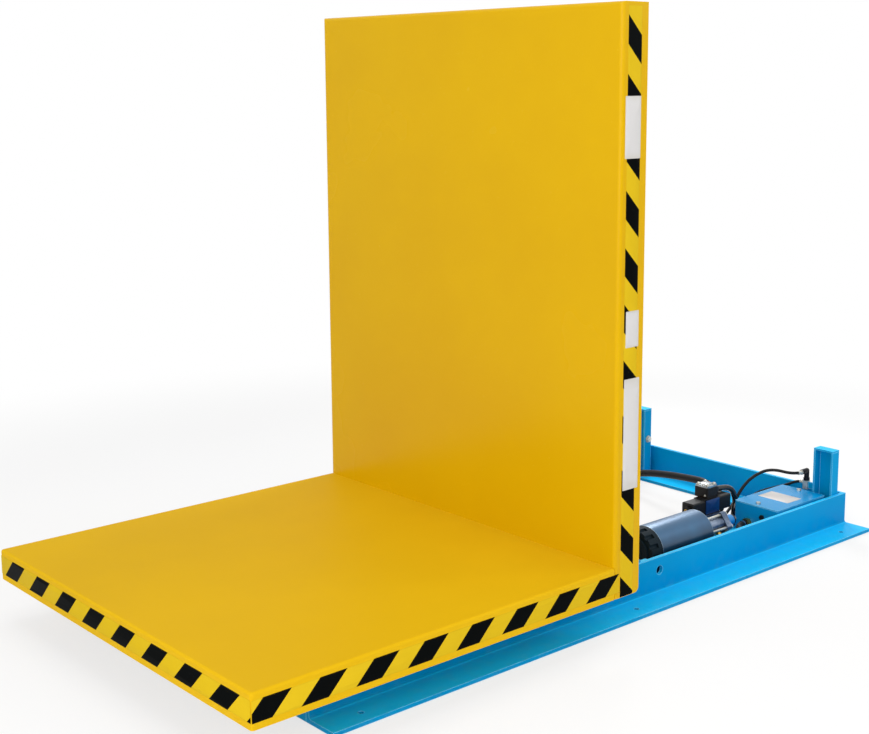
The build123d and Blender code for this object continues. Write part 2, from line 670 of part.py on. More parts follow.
def motor_rotor():
    shaft = bar_x(MOTOR_FRONT - BELL_T + 1, PUMP_X1 + SHAFT_SEAT - 1, UNIT_Y, MOTOR_Z, SHAFT_DRIVE_D)
    core_end = MOTOR_REAR - MOTOR_END_T - ROTOR_END_GAP
    return shaft + bar_x(MOTOR_FRONT + ROTOR_END_GAP, core_end, UNIT_Y, MOTOR_Z, ROTOR_D)


def motor_saddle(x):
    half, thick = CRADLE_W / 2, CRADLE_T / 2
    saddle = block(x - thick, x + thick, UNIT_Y - half, UNIT_Y + half, TRAY_TOP, TRAY_TOP + CRADLE_H)
    return saddle - bar_x(x - CRADLE_T, x + CRADLE_T, UNIT_Y, MOTOR_Z, MOTOR_D + 2 * REST_GAP)


def pump_outline(sketch):
    """Moves a sketch to the pump's middle and stands its height along the line of the two gears."""
    return Pos(PUMP_Y, PUMP_Z) * Rot(0, 0, GEAR_WAY - 90) * sketch


def pump_place(across, along):
    lean = radians(GEAR_WAY - 90)
    return PUMP_Y + across * cos(lean) - along * sin(lean), PUMP_Z + across * sin(lean) + along * cos(lean)


def pump_plate(x0, x1):
    return plate_yz(pump_outline(RectangleRounded(PUMP_SIDE, PUMP_SIDE, PUMP_EDGE_R)), x0, x1)


def tie_bolt_places():
    off = PUMP_SIDE / 2 - TIE_BOLT_EDGE
    return [pump_place(across, along) for across in (-off, off) for along in (-off, off)]


def pump_body():
    mount = MOTOR_REAR + PUMP_FLANGE_T
    body = pump_plate(MOTOR_REAR, mount)
    lobes = Rectangle(2 * PUMP_LOBE_R, GEAR_CENTRES)
    for along in (-GEAR_CENTRES / 2, GEAR_CENTRES / 2):
        lobes += Pos(0, along) * Circle(PUMP_LOBE_R)
    body += plate_yz(pump_outline(lobes), mount, PUMP_X1)
    chamber = PUMP_X1 - GEAR_W - 2 * GEAR_CLEAR
    for y, z in GEAR_PLACES:
        body -= bar_x(chamber, PUMP_X1 + 1, y, z, 2 * (GEAR_TIP_R + GEAR_CLEAR))
    body -= bar_x(MOTOR_REAR - 1, PUMP_X1, UNIT_Y, MOTOR_Z, SHAFT_DRIVE_D + 2 * RUN_CLEAR)
    body -= bar_x(chamber - SHAFT_SEAT, PUMP_X1, IDLER_Y, IDLER_Z, SHAFT_DRIVE_D + 2 * RUN_CLEAR)
    for y, z in tie_bolt_places():
        body -= bar_x(MOTOR_REAR - 1, PUMP_X1, y, z, TIE_BOLT_D + 2 * SEAT_CLEAR)
    return body


def pump_cover():
    """End plate with the round boss of its relief valve behind it."""
    cover = pump_plate(PUMP_X1, PUMP_REAR)
    cover += bar_x(PUMP_REAR, PUMP_REAR + PUMP_BOSS_L, PUMP_Y, PUMP_Z, PUMP_BOSS_D)
    for y, z in GEAR_PLACES:
        cover -= bar_x(PUMP_X1 - 1, PUMP_X1 + SHAFT_SEAT, y, z, SHAFT_DRIVE_D + 2 * RUN_CLEAR)
    for y, z in tie_bolt_places():
        cover -= bar_x(PUMP_X1 - 1, PUMP_REAR + 1, y, z, TIE_BOLT_D + 2 * SEAT_CLEAR)
    return cover


def gear(turn):
    """Straight-cut gear with slim teeth, on the X axis."""
    outline = Circle(GEAR_ROOT_R)
    tooth = Polygon((GEAR_ROOT_R - 1, -TOOTH_ROOT_W / 2), (GEAR_TIP_R, -TOOTH_TIP_W / 2),
                    (GEAR_TIP_R, TOOTH_TIP_W / 2), (GEAR_ROOT_R - 1, TOOTH_ROOT_W / 2), align=None)
    for i in range(GEAR_TEETH):
        outline += Rot(0, 0, turn + 360 * i / GEAR_TEETH) * tooth
    return outline


def gear_blank(outline, y, z):
    x0 = PUMP_X1 - GEAR_W - GEAR_CLEAR
    return plate_yz(Pos(y, z) * outline, x0, x0 + GEAR_W)


def manifold():
    """Block under the valve, with the short pipe that joins it to the side of the pump's cover."""
    body = block(MANIFOLD_X0, MANIFOLD_X1, MANIFOLD_NEAR, MANIFOLD_FAR, TRAY_TOP, MANIFOLD_TOP)
    pipe = bar_y(PUMP_PORT_X, PUMP_Y, MANIFOLD_NEAR, OUTLET_Z, OUTLET_D)
    return body + (pipe - pump_plate(PUMP_X1, PUMP_REAR))


def valve_body():
    body = block(VALVE_X0, VALVE_X1, VALVE_Y - VALVE_W / 2, VALVE_Y + VALVE_W / 2, MANIFOLD_TOP, VALVE_TOP)
    spool_z = MANIFOLD_TOP + SPOOL_Z
    return body - bar_x(VALVE_X0 - 1, VALVE_X1 + 1, VALVE_Y, spool_z, SPOOL_D + 2 * RUN_CLEAR)


def valve_spool():
    z = MANIFOLD_TOP + SPOOL_Z
    spool = bar_x(VALVE_X0 - SPOOL_REACH, VALVE_X1 + SPOOL_REACH, VALVE_Y, z, SPOOL_NECK_D)
    land = VALVE_L / 5
    for i in (0, 2, 4):
        spool += bar_x(VALVE_X0 + i * land, VALVE_X0 + (i + 1) * land, VALVE_Y, z, SPOOL_D)
    return spool


def solenoid(face, way):
    """Coil on one end of the valve, with its retaining nut and the tube that the spool end runs in."""
    z = MANIFOLD_TOP + SPOOL_Z
    coil = plate_yz(Pos(VALVE_Y, z) * RectangleRounded(COIL_W, COIL_W, COIL_R), 0, COIL_L)
    coil += bar_x(COIL_L, COIL_L + COIL_NUT_L, VALVE_Y, z, COIL_NUT_D)
    coil -= bar_x(-1, COIL_BORE_L, VALVE_Y, z, COIL_BORE_D)
    return Pos(face, 0, 0) * (coil if way > 0 else mirror(coil, about=Plane.YZ))


def wiring_box():
    box = block(BOX_X0, BOX_X1, BOX_Y - BOX_W / 2, BOX_Y + BOX_W / 2, VALVE_TOP, BOX_TOP)
    return fillet(box.edges().filter_by(Axis.Z), BOX_R)


def box_cover():
    inset = BOX_R / 2
    cover = block(BOX_X0 + inset, BOX_X1 - inset, BOX_Y - BOX_W / 2 + inset, BOX_Y + BOX_W / 2 - inset,
                  BOX_TOP, BOX_TOP + BOX_COVER_T)
    return fillet(cover.edges().filter_by(Axis.Z) + cover.faces().sort_by(Axis.Z)[-1].edges(), BOX_R / 2)


put("power_unit_tray", tray())
put("motor_shell", motor_shell())
put("motor_end_bell", motor_end_bell())
put("motor_rotor", motor_rotor())
saddle_in = CRADLE_INSET + CRADLE_T / 2
put("motor_cradle", motor_saddle(MOTOR_FRONT + saddle_in), motor_saddle(MOTOR_REAR - saddle_in))
put("pump_body", pump_body())
put("pump_cover", pump_cover())
drive_outline = gear(GEAR_WAY + 180 / GEAR_TEETH) - Circle(SHAFT_DRIVE_D / 2 + SEAT_CLEAR)
put("pump_drive_gear", gear_blank(drive_outline, UNIT_Y, MOTOR_Z))
idler_x0 = PUMP_X1 - GEAR_W - GEAR_CLEAR - SHAFT_SEAT + 1
put("pump_idler_gear", gear_blank(gear(GEAR_WAY + 180), IDLER_Y, IDLER_Z)
    + bar_x(idler_x0, PUMP_X1 + SHAFT_SEAT - 1, IDLER_Y, IDLER_Z, SHAFT_DRIVE_D))
put("pump_bolts", *[bar_x(MOTOR_REAR, PUMP_REAR, y, z, TIE_BOLT_D)
                    + hex_x(PUMP_REAR, PUMP_REAR + TIE_BOLT_HEAD_H, y, z, TIE_BOLT_HEAD_D)
                    for y, z in tie_bolt_places()])
put("manifold_block", manifold())
put("valve_body", valve_body())
put("valve_spool", valve_spool())
put("solenoids", solenoid(VALVE_X0, -1), solenoid(VALVE_X1, 1))
put("wiring_box", wiring_box())
put("wiring_box_cover", box_cover())


# Tank and its fittings

def lid_screw_places():
    return [(TANK_X0 + LID_SCREW_IN, LID_SCREW_Y), (TANK_X1 - LID_SCREW_IN, LID_SCREW_Y)]


def tank_body():
    body = block(TANK_X0, TANK_X1, TANK_NEAR, TANK_FAR, TRAY_TOP, LID_Z)
    body = fillet(body.edges().filter_by(Axis.Z), TANK_EDGE_R)
    body -= block(TANK_X0 + TANK_WALL, TANK_X1 - TANK_WALL, TANK_NEAR + TANK_WALL, TANK_FAR - TANK_WALL,
                  TRAY_TOP + TANK_WALL, TANK_TOP)
    body += block(TANK_X0 + TANK_WALL / 2, TANK_X0 + TANK_WALL + LID_TAB, LID_SCREW_Y - LID_TAB / 2,
                  LID_SCREW_Y + LID_TAB / 2, LID_Z - LID_TAB_T, LID_Z)
    body += block(TANK_X1 - TANK_WALL - LID_TAB, TANK_X1 - TANK_WALL / 2, LID_SCREW_Y - LID_TAB / 2,
                  LID_SCREW_Y + LID_TAB / 2, LID_Z - LID_TAB_T, LID_Z)
    for x, y in lid_screw_places():
        body -= bar_z(x, y, LID_Z - LID_TAB_T - 1, TANK_TOP, LID_SCREW_D + 2 * SEAT_CLEAR)
    front = TANK_X0 - TANK_WALL
    body -= bar_x(front, front + 3 * TANK_WALL, SUCTION_Y, SUCTION_Z, SUCTION_THREAD_D + 2 * SEAT_CLEAR)
    body -= bar_x(front, front + 3 * TANK_WALL, PLUG_Y, PLUG_Z, PLUG_D + 2 * SEAT_CLEAR)
    return body


def tank_lid():
    lid = block(TANK_X0, TANK_X1, TANK_NEAR, TANK_FAR, LID_Z, TANK_TOP)
    lid = fillet(lid.edges().filter_by(Axis.Z), TANK_EDGE_R)
    for x, y in lid_screw_places():
        lid -= bar_z(x, y, LID_Z - 1, TANK_TOP + 1, LID_SCREW_D + 2 * SEAT_CLEAR)
    return lid


def lid_screw(x, y):
    head = Pos(x, y, TANK_TOP) * extrude(RegularPolygon(LID_SCREW_HEAD_D / 2, 6, major_radius=False),
                                         LID_SCREW_HEAD_H)
    return head + bar_z(x, y, LID_Z - LID_TAB_T, TANK_TOP, LID_SCREW_D)


SUCTION_ELBOW_Y, SUCTION_ELBOW_Z = pump_place(-PUMP_LOBE_R - SUCTION_DROP, 0)


def suction_fitting():
    body = hex_x(TANK_X0 - SUCTION_FIT_L, TANK_X0, SUCTION_Y, SUCTION_Z, SUCTION_FIT_D)
    return body + bar_x(TANK_X0, TANK_X0 + SUCTION_THREAD_IN, SUCTION_Y, SUCTION_Z, SUCTION_THREAD_D)


def suction_elbow():
    """Elbow under the pump's gears: out of the body's lower near side, then to the rear."""
    leg = Rot(GEAR_WAY - 180, 0, 0) * Cylinder(SUCTION_ELBOW_D / 2, SUCTION_DROP)
    leg = Pos(SUCTION_X, *pump_place(-PUMP_LOBE_R - SUCTION_DROP / 2, 0)) * leg
    leg += Pos(SUCTION_X, SUCTION_ELBOW_Y, SUCTION_ELBOW_Z) * Sphere(SUCTION_ELBOW_D / 2)
    return leg + bar_x(SUCTION_X, SUCTION_X + SUCTION_REACH, SUCTION_ELBOW_Y, SUCTION_ELBOW_Z, SUCTION_ELBOW_D)


def return_elbow():
    """Riser with a nut at its foot, turning to the front where the return hose joins."""
    elbow = bar_z(FIT_BLOCK_X, FIT_Y, FIT_TOP, ELBOW_Z, ELBOW_D)
    elbow += bar_z(FIT_BLOCK_X, FIT_Y, FIT_TOP, FIT_TOP + ELBOW_NUT_L, ELBOW_NUT_D)
    elbow += Pos(FIT_BLOCK_X, FIT_Y, ELBOW_Z) * Sphere(ELBOW_D / 2)
    return elbow + bar_x(ELBOW_X, FIT_BLOCK_X, FIT_Y, ELBOW_Z, ELBOW_D)


put("tank_body", tank_body())
put("tank_lid", tank_lid())
put("lid_screws", *[lid_screw(x, y) for x, y in lid_screw_places()])
put("suction_fitting", suction_fitting(), suction_elbow())
put("tank_plug", hex_x(TANK_X0 - PLUG_HEAD_H, TANK_X0, PLUG_Y, PLUG_Z, PLUG_HEAD_D)
    + bar_x(TANK_X0, TANK_X0 + PLUG_L, PLUG_Y, PLUG_Z, PLUG_D))
put("return_fitting", block(FIT_BLOCK_X - FIT_BLOCK_L / 2, FIT_BLOCK_X + FIT_BLOCK_L / 2,
                            FIT_Y - FIT_BLOCK_W / 2, FIT_Y + FIT_BLOCK_W / 2, FIT_BLOCK_Z, FIT_TOP))
put("return_elbow", return_elbow())


# Hoses, cable, clips and junction block

def clip(x):
    """Block on the far rail's web that the long hose passes through."""
    reach = HOSE_RAIL_Y - CYL_HOSE_D / 2 - CLIP_WALL
    half = CYL_HOSE_D / 2 + CLIP_WALL
    body = block(x - CLIP_L / 2, x + CLIP_L / 2, reach, RAIL_INNER, HOSE_RAIL_Z - half, HOSE_RAIL_Z + half)
    return body - bar_x(x - CLIP_L, x + CLIP_L, HOSE_RAIL_Y, HOSE_RAIL_Z, CYL_HOSE_D + 2 * REST_GAP)


def jumpers():
    """Hoses from the junction block to the two ports of the far cylinder."""
    edge = JUNCTION_W / 2
    port_y = CYL_Y - BARREL_D / 2 - PORT_L

    def at(reach, y):
        """Point that lies the given reach along the cylinder from its base pin."""
        lift = radians(CYL_ANGLE)
        return (BASE_PIN_X + reach * cos(lift), y, BASE_PIN_Z + reach * sin(lift))

    cap_end, cap_lead = at(CAP_PORT_AT, port_y), at(CAP_PORT_AT, port_y - JUMPER_CAP_LEAD)
    rod_at = ROD_PORT_AT - ROD_PORT_OUT
    rod_end, rod_lead = at(rod_at, port_y), at(rod_at - JUMPER_ROD_LEAD, port_y)
    cap_x = JUNCTION_X1 - JUMPER_CAP_IN
    cap_route = [(cap_x, edge, JUMPER_Z), (cap_x, edge + JUMPER_CAP_LEAD, JUMPER_Z), cap_lead, cap_end]
    rod_route = [(JUNCTION_X1, JUMPER_Y, JUMPER_Z), (JUNCTION_X1 + JUMPER_ROD_LEAD, JUMPER_Y, JUMPER_Z),
                 rod_lead, rod_end]
    return [hose("cap jumper", cap_route, JUMPER_D), hose("rod jumper", rod_route, JUMPER_D)]


cylinder_route = [
    (MANIFOLD_X1, -212, 64), (956, -212, 64), (1008, -165, 92), (1030, -92, 124), (1044, -8, 116),
    (1060, 78, 105), (1074, 165, 91), (1088, 250, 72), (1085, 335, 42), (1010, 392, 21),
    (900, HOSE_RAIL_Y, HOSE_RAIL_Z), (45, HOSE_RAIL_Y, HOSE_RAIL_Z), (-55, 375, 20), (-105, 285, 20),
    (-112, 180, 22), (-118, 95, 32),
    (JUNCTION_X1 + 100, 28, 44), (JUNCTION_X1 + 50, 0, 48), (JUNCTION_X1, 0, 48)]
return_route = [
    (MANIFOLD_X1, -206, 32), (956, -206, 32), (1040, -194, 66), (1075, -203, 122), (1108, -222, 158),
    (1150, -258, 183), (1186, FIT_Y, ELBOW_Z), (ELBOW_X, FIT_Y, ELBOW_Z)]
drain_route = [
    (FIT_BLOCK_X, FIT_Y + FIT_BLOCK_W / 2, 129), (FIT_BLOCK_X, -294, 129), (FIT_BLOCK_X, -246, 102),
    (1249, -180, 76), (1227, -153, 62), (1195, -152, 53), (1172, -175, 48), (1172, TANK_FAR, 48)]
suction_route = [
    (TANK_X0 - SUCTION_FIT_L, SUCTION_Y, SUCTION_Z), (918, SUCTION_Y, SUCTION_Z),
    (862, SUCTION_ELBOW_Y, SUCTION_ELBOW_Z), (SUCTION_X + SUCTION_REACH, SUCTION_ELBOW_Y, SUCTION_ELBOW_Z)]
cable_route = [
    (BOX_X1, BOX_Y, 151), (930, BOX_Y, 151), (994, -219, 142), (1013, -225, 99), (998, -228, 58),
    (998, -228, TRAY_TOP)]

put("cylinder_hose", hose("cylinder hose", cylinder_route, CYL_HOSE_D))
put("return_hose", hose("return hose", return_route, RETURN_HOSE_D))
put("drain_hose", hose("drain hose", drain_route, DRAIN_HOSE_D))
put("suction_hose", hose("suction hose", suction_route, SUCTION_HOSE_D))
put("valve_cable", hose("valve cable", cable_route, CABLE_D))
far_jumpers = jumpers()
put("jumper_hoses", *far_jumpers, *[far_side(j) for j in far_jumpers])
put("hose_clips", *[clip(x) for x in CLIP_X])
put("hose_block", block(JUNCTION_X0, JUNCTION_X1, -JUNCTION_W / 2, JUNCTION_W / 2,
                        ANCHOR_BAR_T, JUNCTION_TOP))

print(f"pivot {PIVOT_X + FACE_X:.3f} {PIVOT_Z:.3f}, base pin {BASE_PIN_X + FACE_X:.3f} {BASE_PIN_Z:.3f}, "
      f"cylinder angle {CYL_ANGLE:.5f}, swing {SWING:.5f}, stroke {STROKE:.4f}")

os.makedirs("parts", exist_ok=True)
for name, shape in nodes.items():
    export_step(shape, f"parts/{name}.step")
print(len(nodes), "nodes")
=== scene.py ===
import bpy
import numpy as np
from mathutils import Matrix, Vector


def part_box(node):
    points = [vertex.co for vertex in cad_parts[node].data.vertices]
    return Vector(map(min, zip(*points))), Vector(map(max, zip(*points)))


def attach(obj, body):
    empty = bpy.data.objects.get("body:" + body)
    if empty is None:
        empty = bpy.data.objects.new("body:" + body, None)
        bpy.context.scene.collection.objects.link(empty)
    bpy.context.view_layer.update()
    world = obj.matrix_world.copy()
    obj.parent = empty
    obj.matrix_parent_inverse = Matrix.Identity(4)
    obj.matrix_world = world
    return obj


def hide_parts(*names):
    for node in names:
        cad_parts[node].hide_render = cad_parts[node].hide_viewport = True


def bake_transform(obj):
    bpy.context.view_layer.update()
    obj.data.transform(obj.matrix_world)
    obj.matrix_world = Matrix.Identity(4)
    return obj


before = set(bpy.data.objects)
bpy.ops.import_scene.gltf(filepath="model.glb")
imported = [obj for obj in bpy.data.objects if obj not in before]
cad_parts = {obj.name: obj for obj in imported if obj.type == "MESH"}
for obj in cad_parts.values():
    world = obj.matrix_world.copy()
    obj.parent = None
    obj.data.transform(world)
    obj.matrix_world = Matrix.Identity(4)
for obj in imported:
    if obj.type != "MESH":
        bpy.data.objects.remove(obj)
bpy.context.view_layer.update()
scene = bpy.context.scene
scene.view_settings.view_transform = "Standard"

faceShift = -0.099  # where the upright's loading face stands in the row frame, metres
sideWays = {"Near": -1, "Far": 1}  # each side of the machine and its way along y


def spot(x, y, z):  # millimetres from the upright's loading face, as metres in the row frame
    return np.array([x / 1000 + faceShift, y / 1000, z / 1000])


def mm(point):  # millimetres in the row frame to metres
    return np.asarray(point, float) / 1000


def nodeBox(node):  # the low and the high corner of a CAD node, millimetres in the row frame
    return [np.array(corner) * 1000 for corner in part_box(node)]


def mirrored(points, way):  # the same points on the near side (-1) or the far side (1)
    return [(x, way * y, z) for x, y, z in points]


def screenColour(red, green, blue):  # a colour as a screen shows it, 0 to 255, made linear for the shader
    share = np.array([red, green, blue]) / 255
    linear = np.where(share <= 0.04045, share / 12.92, ((share + 0.055) / 1.055) ** 2.4)
    return (*linear.tolist(), 1.0)


def standAt(thing, right, up, back, place):  # turns a camera or lamp to three axes and adds it to the scene
    axes = np.eye(4)
    axes[:3] = np.column_stack([right, up, back, place])
    thing.matrix_world = Matrix(axes.tolist())
    scene.collection.objects.link(thing)


# Camera: turned, pitched and rolled to the angles that fit the corners seen in the photograph
cameraLook = {
    "place": (-2582.4, -2922.4, 1450.1),
    "turn": 0.725,
    "pitch": 0.167,
    "roll": 0.004,
    "lens": 58.0,
    "sensor": 36.0,
    "shift": (-0.02748, -0.05866),
    "farthest": 100.0,
}


def addCamera(look):
    turn, pitch, roll = look["turn"], look["pitch"], look["roll"]
    ahead = np.array([np.sin(turn) * np.cos(pitch), np.cos(turn) * np.cos(pitch), -np.sin(pitch)])
    level = np.array([np.cos(turn), -np.sin(turn), 0.0])
    below = np.cross(ahead, level)
    right = np.cos(roll) * level + np.sin(roll) * below
    down = np.cos(roll) * below - np.sin(roll) * level
    lens = bpy.data.cameras.new("photoCamera")
    lens.sensor_width = look["sensor"]
    lens.lens = look["lens"]
    lens.shift_x, lens.shift_y = look["shift"]
    lens.clip_end = look["farthest"]
    camera = bpy.data.objects.new("photoCamera", lens)
    standAt(camera, right, -down, -ahead, spot(*look["place"]))
    scene.camera = camera


addCamera(cameraLook)
print("camera set")


class Socket:  # one output of a node: sums written with it add Math nodes
    def __init__(self, nodes, out):
        self.nodes, self.out = nodes, out

    def maths(self, job, *values):
        return self.nodes.node("ShaderNodeMath", {"operation": job}, dict(enumerate(values)))

    def __add__(self, other):
        return self.maths("ADD", self, other)

    def __radd__(self, other):
        return self.maths("ADD", other, self)

    def __sub__(self, other):
        return self.maths("SUBTRACT", self, other)

    def __rsub__(self, other):
        return self.maths("SUBTRACT", other, self)

    def __mul__(self, other):
        return self.maths("MULTIPLY", self, other)

    def __rmul__(self, other):
        return self.maths("MULTIPLY", other, self)

    def __lt__(self, other):
        return self.maths("LESS_THAN", self, other)

    def __gt__(self, other):
        return self.maths("GREATER_THAN", self, other)

    def most(self, other):
        return self.maths("MAXIMUM", self, other)

    def alone(self, job):  # a sum of this value only, such as its sine
        return self.maths(job, self)

    def sway(self, amount):  # a noise about its middle, scaled
        return (self - 0.5) * amount


class Nodes:  # the nodes of a material or of the world
    def __init__(self, tree):
        self.tree = tree

    def node(self, kind, settings=None, sockets=None, take=0):  # take names the output that is handed on
        made = self.tree.nodes.new(kind)
        for key, value in (settings or {}).items():
            setattr(made, key, value)
        for key, value in (sockets or {}).items():
            self.feed(made.inputs[key], value)
        return Socket(self, made.outputs[take])

    def feed(self, target, value):
        if isinstance(value, Socket):
            self.tree.links.new(value.out, target)
        else:
            target.default_value = value

    def seenRays(self):  # 1 for rays from the camera, off a shine or through glass
        camera, glossy, through = [self.node("ShaderNodeLightPath", take=f"Is {kind} Ray")
                                   for kind in ("Camera", "Glossy", "Transmission")]
        return camera.most(glossy).most(through)


edgeLook = dict(radius=0.0045, samples=6, lean=(0.01, 0.16))  # which edges take the painted edge highlight: the bevel's radius and samples, and the lean that counts as an edge


class Finish(Nodes):  # a material and the nodes that make it
    def __init__(self, name, **constants):
        self.material = bpy.data.materials.new(name)
        self.material.use_nodes = True
        super().__init__(self.material.node_tree)
        self.shader = self.tree.nodes["Principled BSDF"]
        for key, value in constants.items():
            self.shader.inputs[key].default_value = value

    def wire(self, key, value):  # feeds one socket of the surface shader
        self.feed(self.shader.inputs[key], value)

    def objectPlace(self):
        return self.node("ShaderNodeTexCoord", take="Object")

    def coordinate(self, kind, axis):  # one number of the object place, the normal or the piece's own UV map
        whole = self.node("ShaderNodeTexCoord", take=kind)
        return self.node("ShaderNodeSeparateXYZ", None, {0: whole}, take=axis)

    def stretch(self, scale):  # object place, drawn out along an axis
        return self.node("ShaderNodeMapping", None, {"Vector": self.objectPlace(), "Scale": scale})

    def noise(self, scale, detail=2.0, place=None):
        sockets = {"Vector": place or self.objectPlace(), "Scale": scale, "Detail": detail}
        return self.node("ShaderNodeTexNoise", None, sockets)

    def steps(self, value, low, high):  # 0 below low, 1 above high, smooth between
        sockets = {"Value": value, "From Min": low, "From Max": high}
        return self.node("ShaderNodeMapRange", {"interpolation_type": "SMOOTHSTEP"}, sockets)

    def patches(self, scale, detail, low, high, place=None):  # soft islands where a noise is high
        return self.steps(self.noise(scale, detail, place), low, high)

    def edges(self):  # how far a rounded normal leans from the true one: 1 on a sharp edge, 0 on a flat
        soft = self.node("ShaderNodeBevel", {"samples": edgeLook["samples"]}, {"Radius": edgeLook["radius"]})
        true = self.node("ShaderNodeNewGeometry", take="Normal")
        alike = self.node("ShaderNodeVectorMath", {"operation": "DOT_PRODUCT"}, {0: soft, 1: true}, take="Value")
        return self.steps(1 - alike, *edgeLook["lean"])

    def offMiddle(self):  # how far the map's v is from the middle of a tape or sticker, 0.5 on its rim
        return (self.coordinate("UV", "Y") - 0.5).alone("ABSOLUTE")

    def mix(self, share, first, second):  # each of the two is a screen colour or a socket
        first, second = [each if isinstance(each, Socket) else screenColour(*each) for each in (first, second)]
        return self.node("ShaderNodeMix", {"data_type": "RGBA"}, {0: share, 6: first, 7: second}, take=2)

    def bump(self, height, strength, distance):
        sockets = {"Strength": strength, "Distance": distance, "Height": height}
        self.wire("Normal", self.node("ShaderNodeBump", None, sockets))


# Paint: slow clouds of tone, orange peel in the skin, fine nibs, a painted highlight on sharp edges in wear-like
# patches, dust near the floor and, where the look has a painted top light, a paler colour painted on faces that
# look up
paintLooks = {
    "deckYellow": dict(light=(220, 176, 13), deep=(216, 172, 10), edge=(232, 192, 40), wearAndHighlight=0.5, rough=0.62,
                       peel=0.05, peelScale=300, gloss=0.08, dust=0.0),
    "uprightYellow": dict(light=(212, 168, 2), deep=(209, 164, 2), edge=(236, 200, 40), wearAndHighlight=0.5, rough=0.26,
                          peel=0.03, peelScale=260, gloss=0.1, dust=0.0),
    "frameYellow": dict(light=(226, 178, 8), deep=(214, 164, 6), edge=(236, 198, 40), wearAndHighlight=0.3, rough=0.42,
                        peel=0.06, peelScale=280, gloss=0.25, dust=0.0),
    "frameBlue": dict(light=(0, 151, 208), deep=(0, 142, 199), edge=(130, 220, 255), wearAndHighlight=0.7, rough=0.3,
                      peel=0.06, peelScale=240, gloss=0.03, dust=0.012, paintedTopLight=(28, 196, 255)),
    "tankBlue": dict(light=(4, 148, 212), deep=(2, 141, 204), edge=(130, 218, 252), wearAndHighlight=0.8, rough=0.26,
                     peel=0.06, peelScale=240, gloss=0.2, dust=0.02),
    "coverBlue": dict(light=(24, 140, 216), deep=(16, 122, 196), edge=(150, 205, 240), wearAndHighlight=0.5, rough=0.3,
                      peel=0.05, peelScale=260, gloss=0.4, dust=0.0),
    "barrelBlack": dict(light=(26, 27, 29), deep=(19, 20, 22), edge=(60, 62, 66), wearAndHighlight=0.4, rough=0.3,
                        peel=0.05, peelScale=240, gloss=0.5, dust=0.05),
}
floorDust = dict(tone=(150, 150, 146), top=0.09, scale=34.0, cover=4)  # top in metres above the floor


def paint(name, look):
    finish = Finish(name, **{"Specular IOR Level": look["gloss"]})
    clouds = finish.noise(2.6, 3.0)
    peel = finish.noise(look["peelScale"], 2.0)
    nibs = finish.patches(120.0, 1.0, 0.73, 0.78)
    # painted highlight: sharp edges drawn in a lighter tint of the paint, in patches like edge wear
    edgeWearAndHighlight = finish.edges() * finish.patches(9.0, 4.0, 0.2, 0.55) * look["wearAndHighlight"]
    low = finish.steps(finish.coordinate("Object", "Z"), floorDust["top"], 0.0)
    low = low * finish.patches(floorDust["scale"], 4.0, 0.4, 0.75)
    colour = finish.mix(finish.steps(clouds, 0.3, 0.7), look["deep"], look["light"])
    # painted top light: faces that look up are drawn in a paler, brighter colour
    if "paintedTopLight" in look:
        paintedTopLightMask = finish.steps(finish.coordinate("Normal", "Z") + clouds.sway(0.2), 0.6, 0.95)
        colour = finish.mix(paintedTopLightMask, colour, look["paintedTopLight"])
    colour = finish.mix(low * look["dust"] * floorDust["cover"], colour, floorDust["tone"])
    finish.wire("Base Color", finish.mix(edgeWearAndHighlight, colour, look["edge"]))
    finish.wire("Roughness", look["rough"] + clouds.sway(0.1) + nibs * 0.06 + low * look["dust"])
    finish.bump(peel + nibs * 0.6, look["peel"], 0.002)
    return finish.material


# Motor shell: dark blue enamel with fine turning lines round the tube, painted shade that darkens it low down, and
# a painted highlight on its edges
motorLook = dict(light=(34, 96, 136), deep=(24, 78, 118), rim=(176, 200, 214), paintedShade=(6, 16, 23), paintedShadeTop=0.15,
                 paintedShadeFoot=0.07, rough=0.36, metallic=0.45, gloss=1.0, coat=0.2, coatRough=0.2)


def motorEnamel(name, look):
    finish = Finish(name, **{"Specular IOR Level": look["gloss"], "Coat Weight": look["coat"],
                             "Coat Roughness": look["coatRough"]})
    lines = finish.noise(60.0, 3.0, finish.stretch((14.0, 1.0, 1.0)))
    clouds = finish.noise(9.0, 3.0)
    colour = finish.mix(finish.steps(clouds, 0.25, 0.75), look["deep"], look["light"])
    height = finish.coordinate("Object", "Z") + clouds.sway(0.02)
    # painted shade: the shell is drawn darker towards the bottom
    colour = finish.mix(finish.steps(height, look["paintedShadeTop"], look["paintedShadeFoot"]), colour, look["paintedShade"])
    # painted highlight: the shell's sharp edges are drawn in a pale silver-blue
    finish.wire("Base Color", finish.mix(finish.edges() * 0.6, colour, look["rim"]))
    finish.wire("Metallic", look["metallic"] + clouds.sway(0.1))
    finish.wire("Roughness", look["rough"] + lines.sway(0.12))
    finish.bump(lines, 0.06, 0.001)
    return finish.material


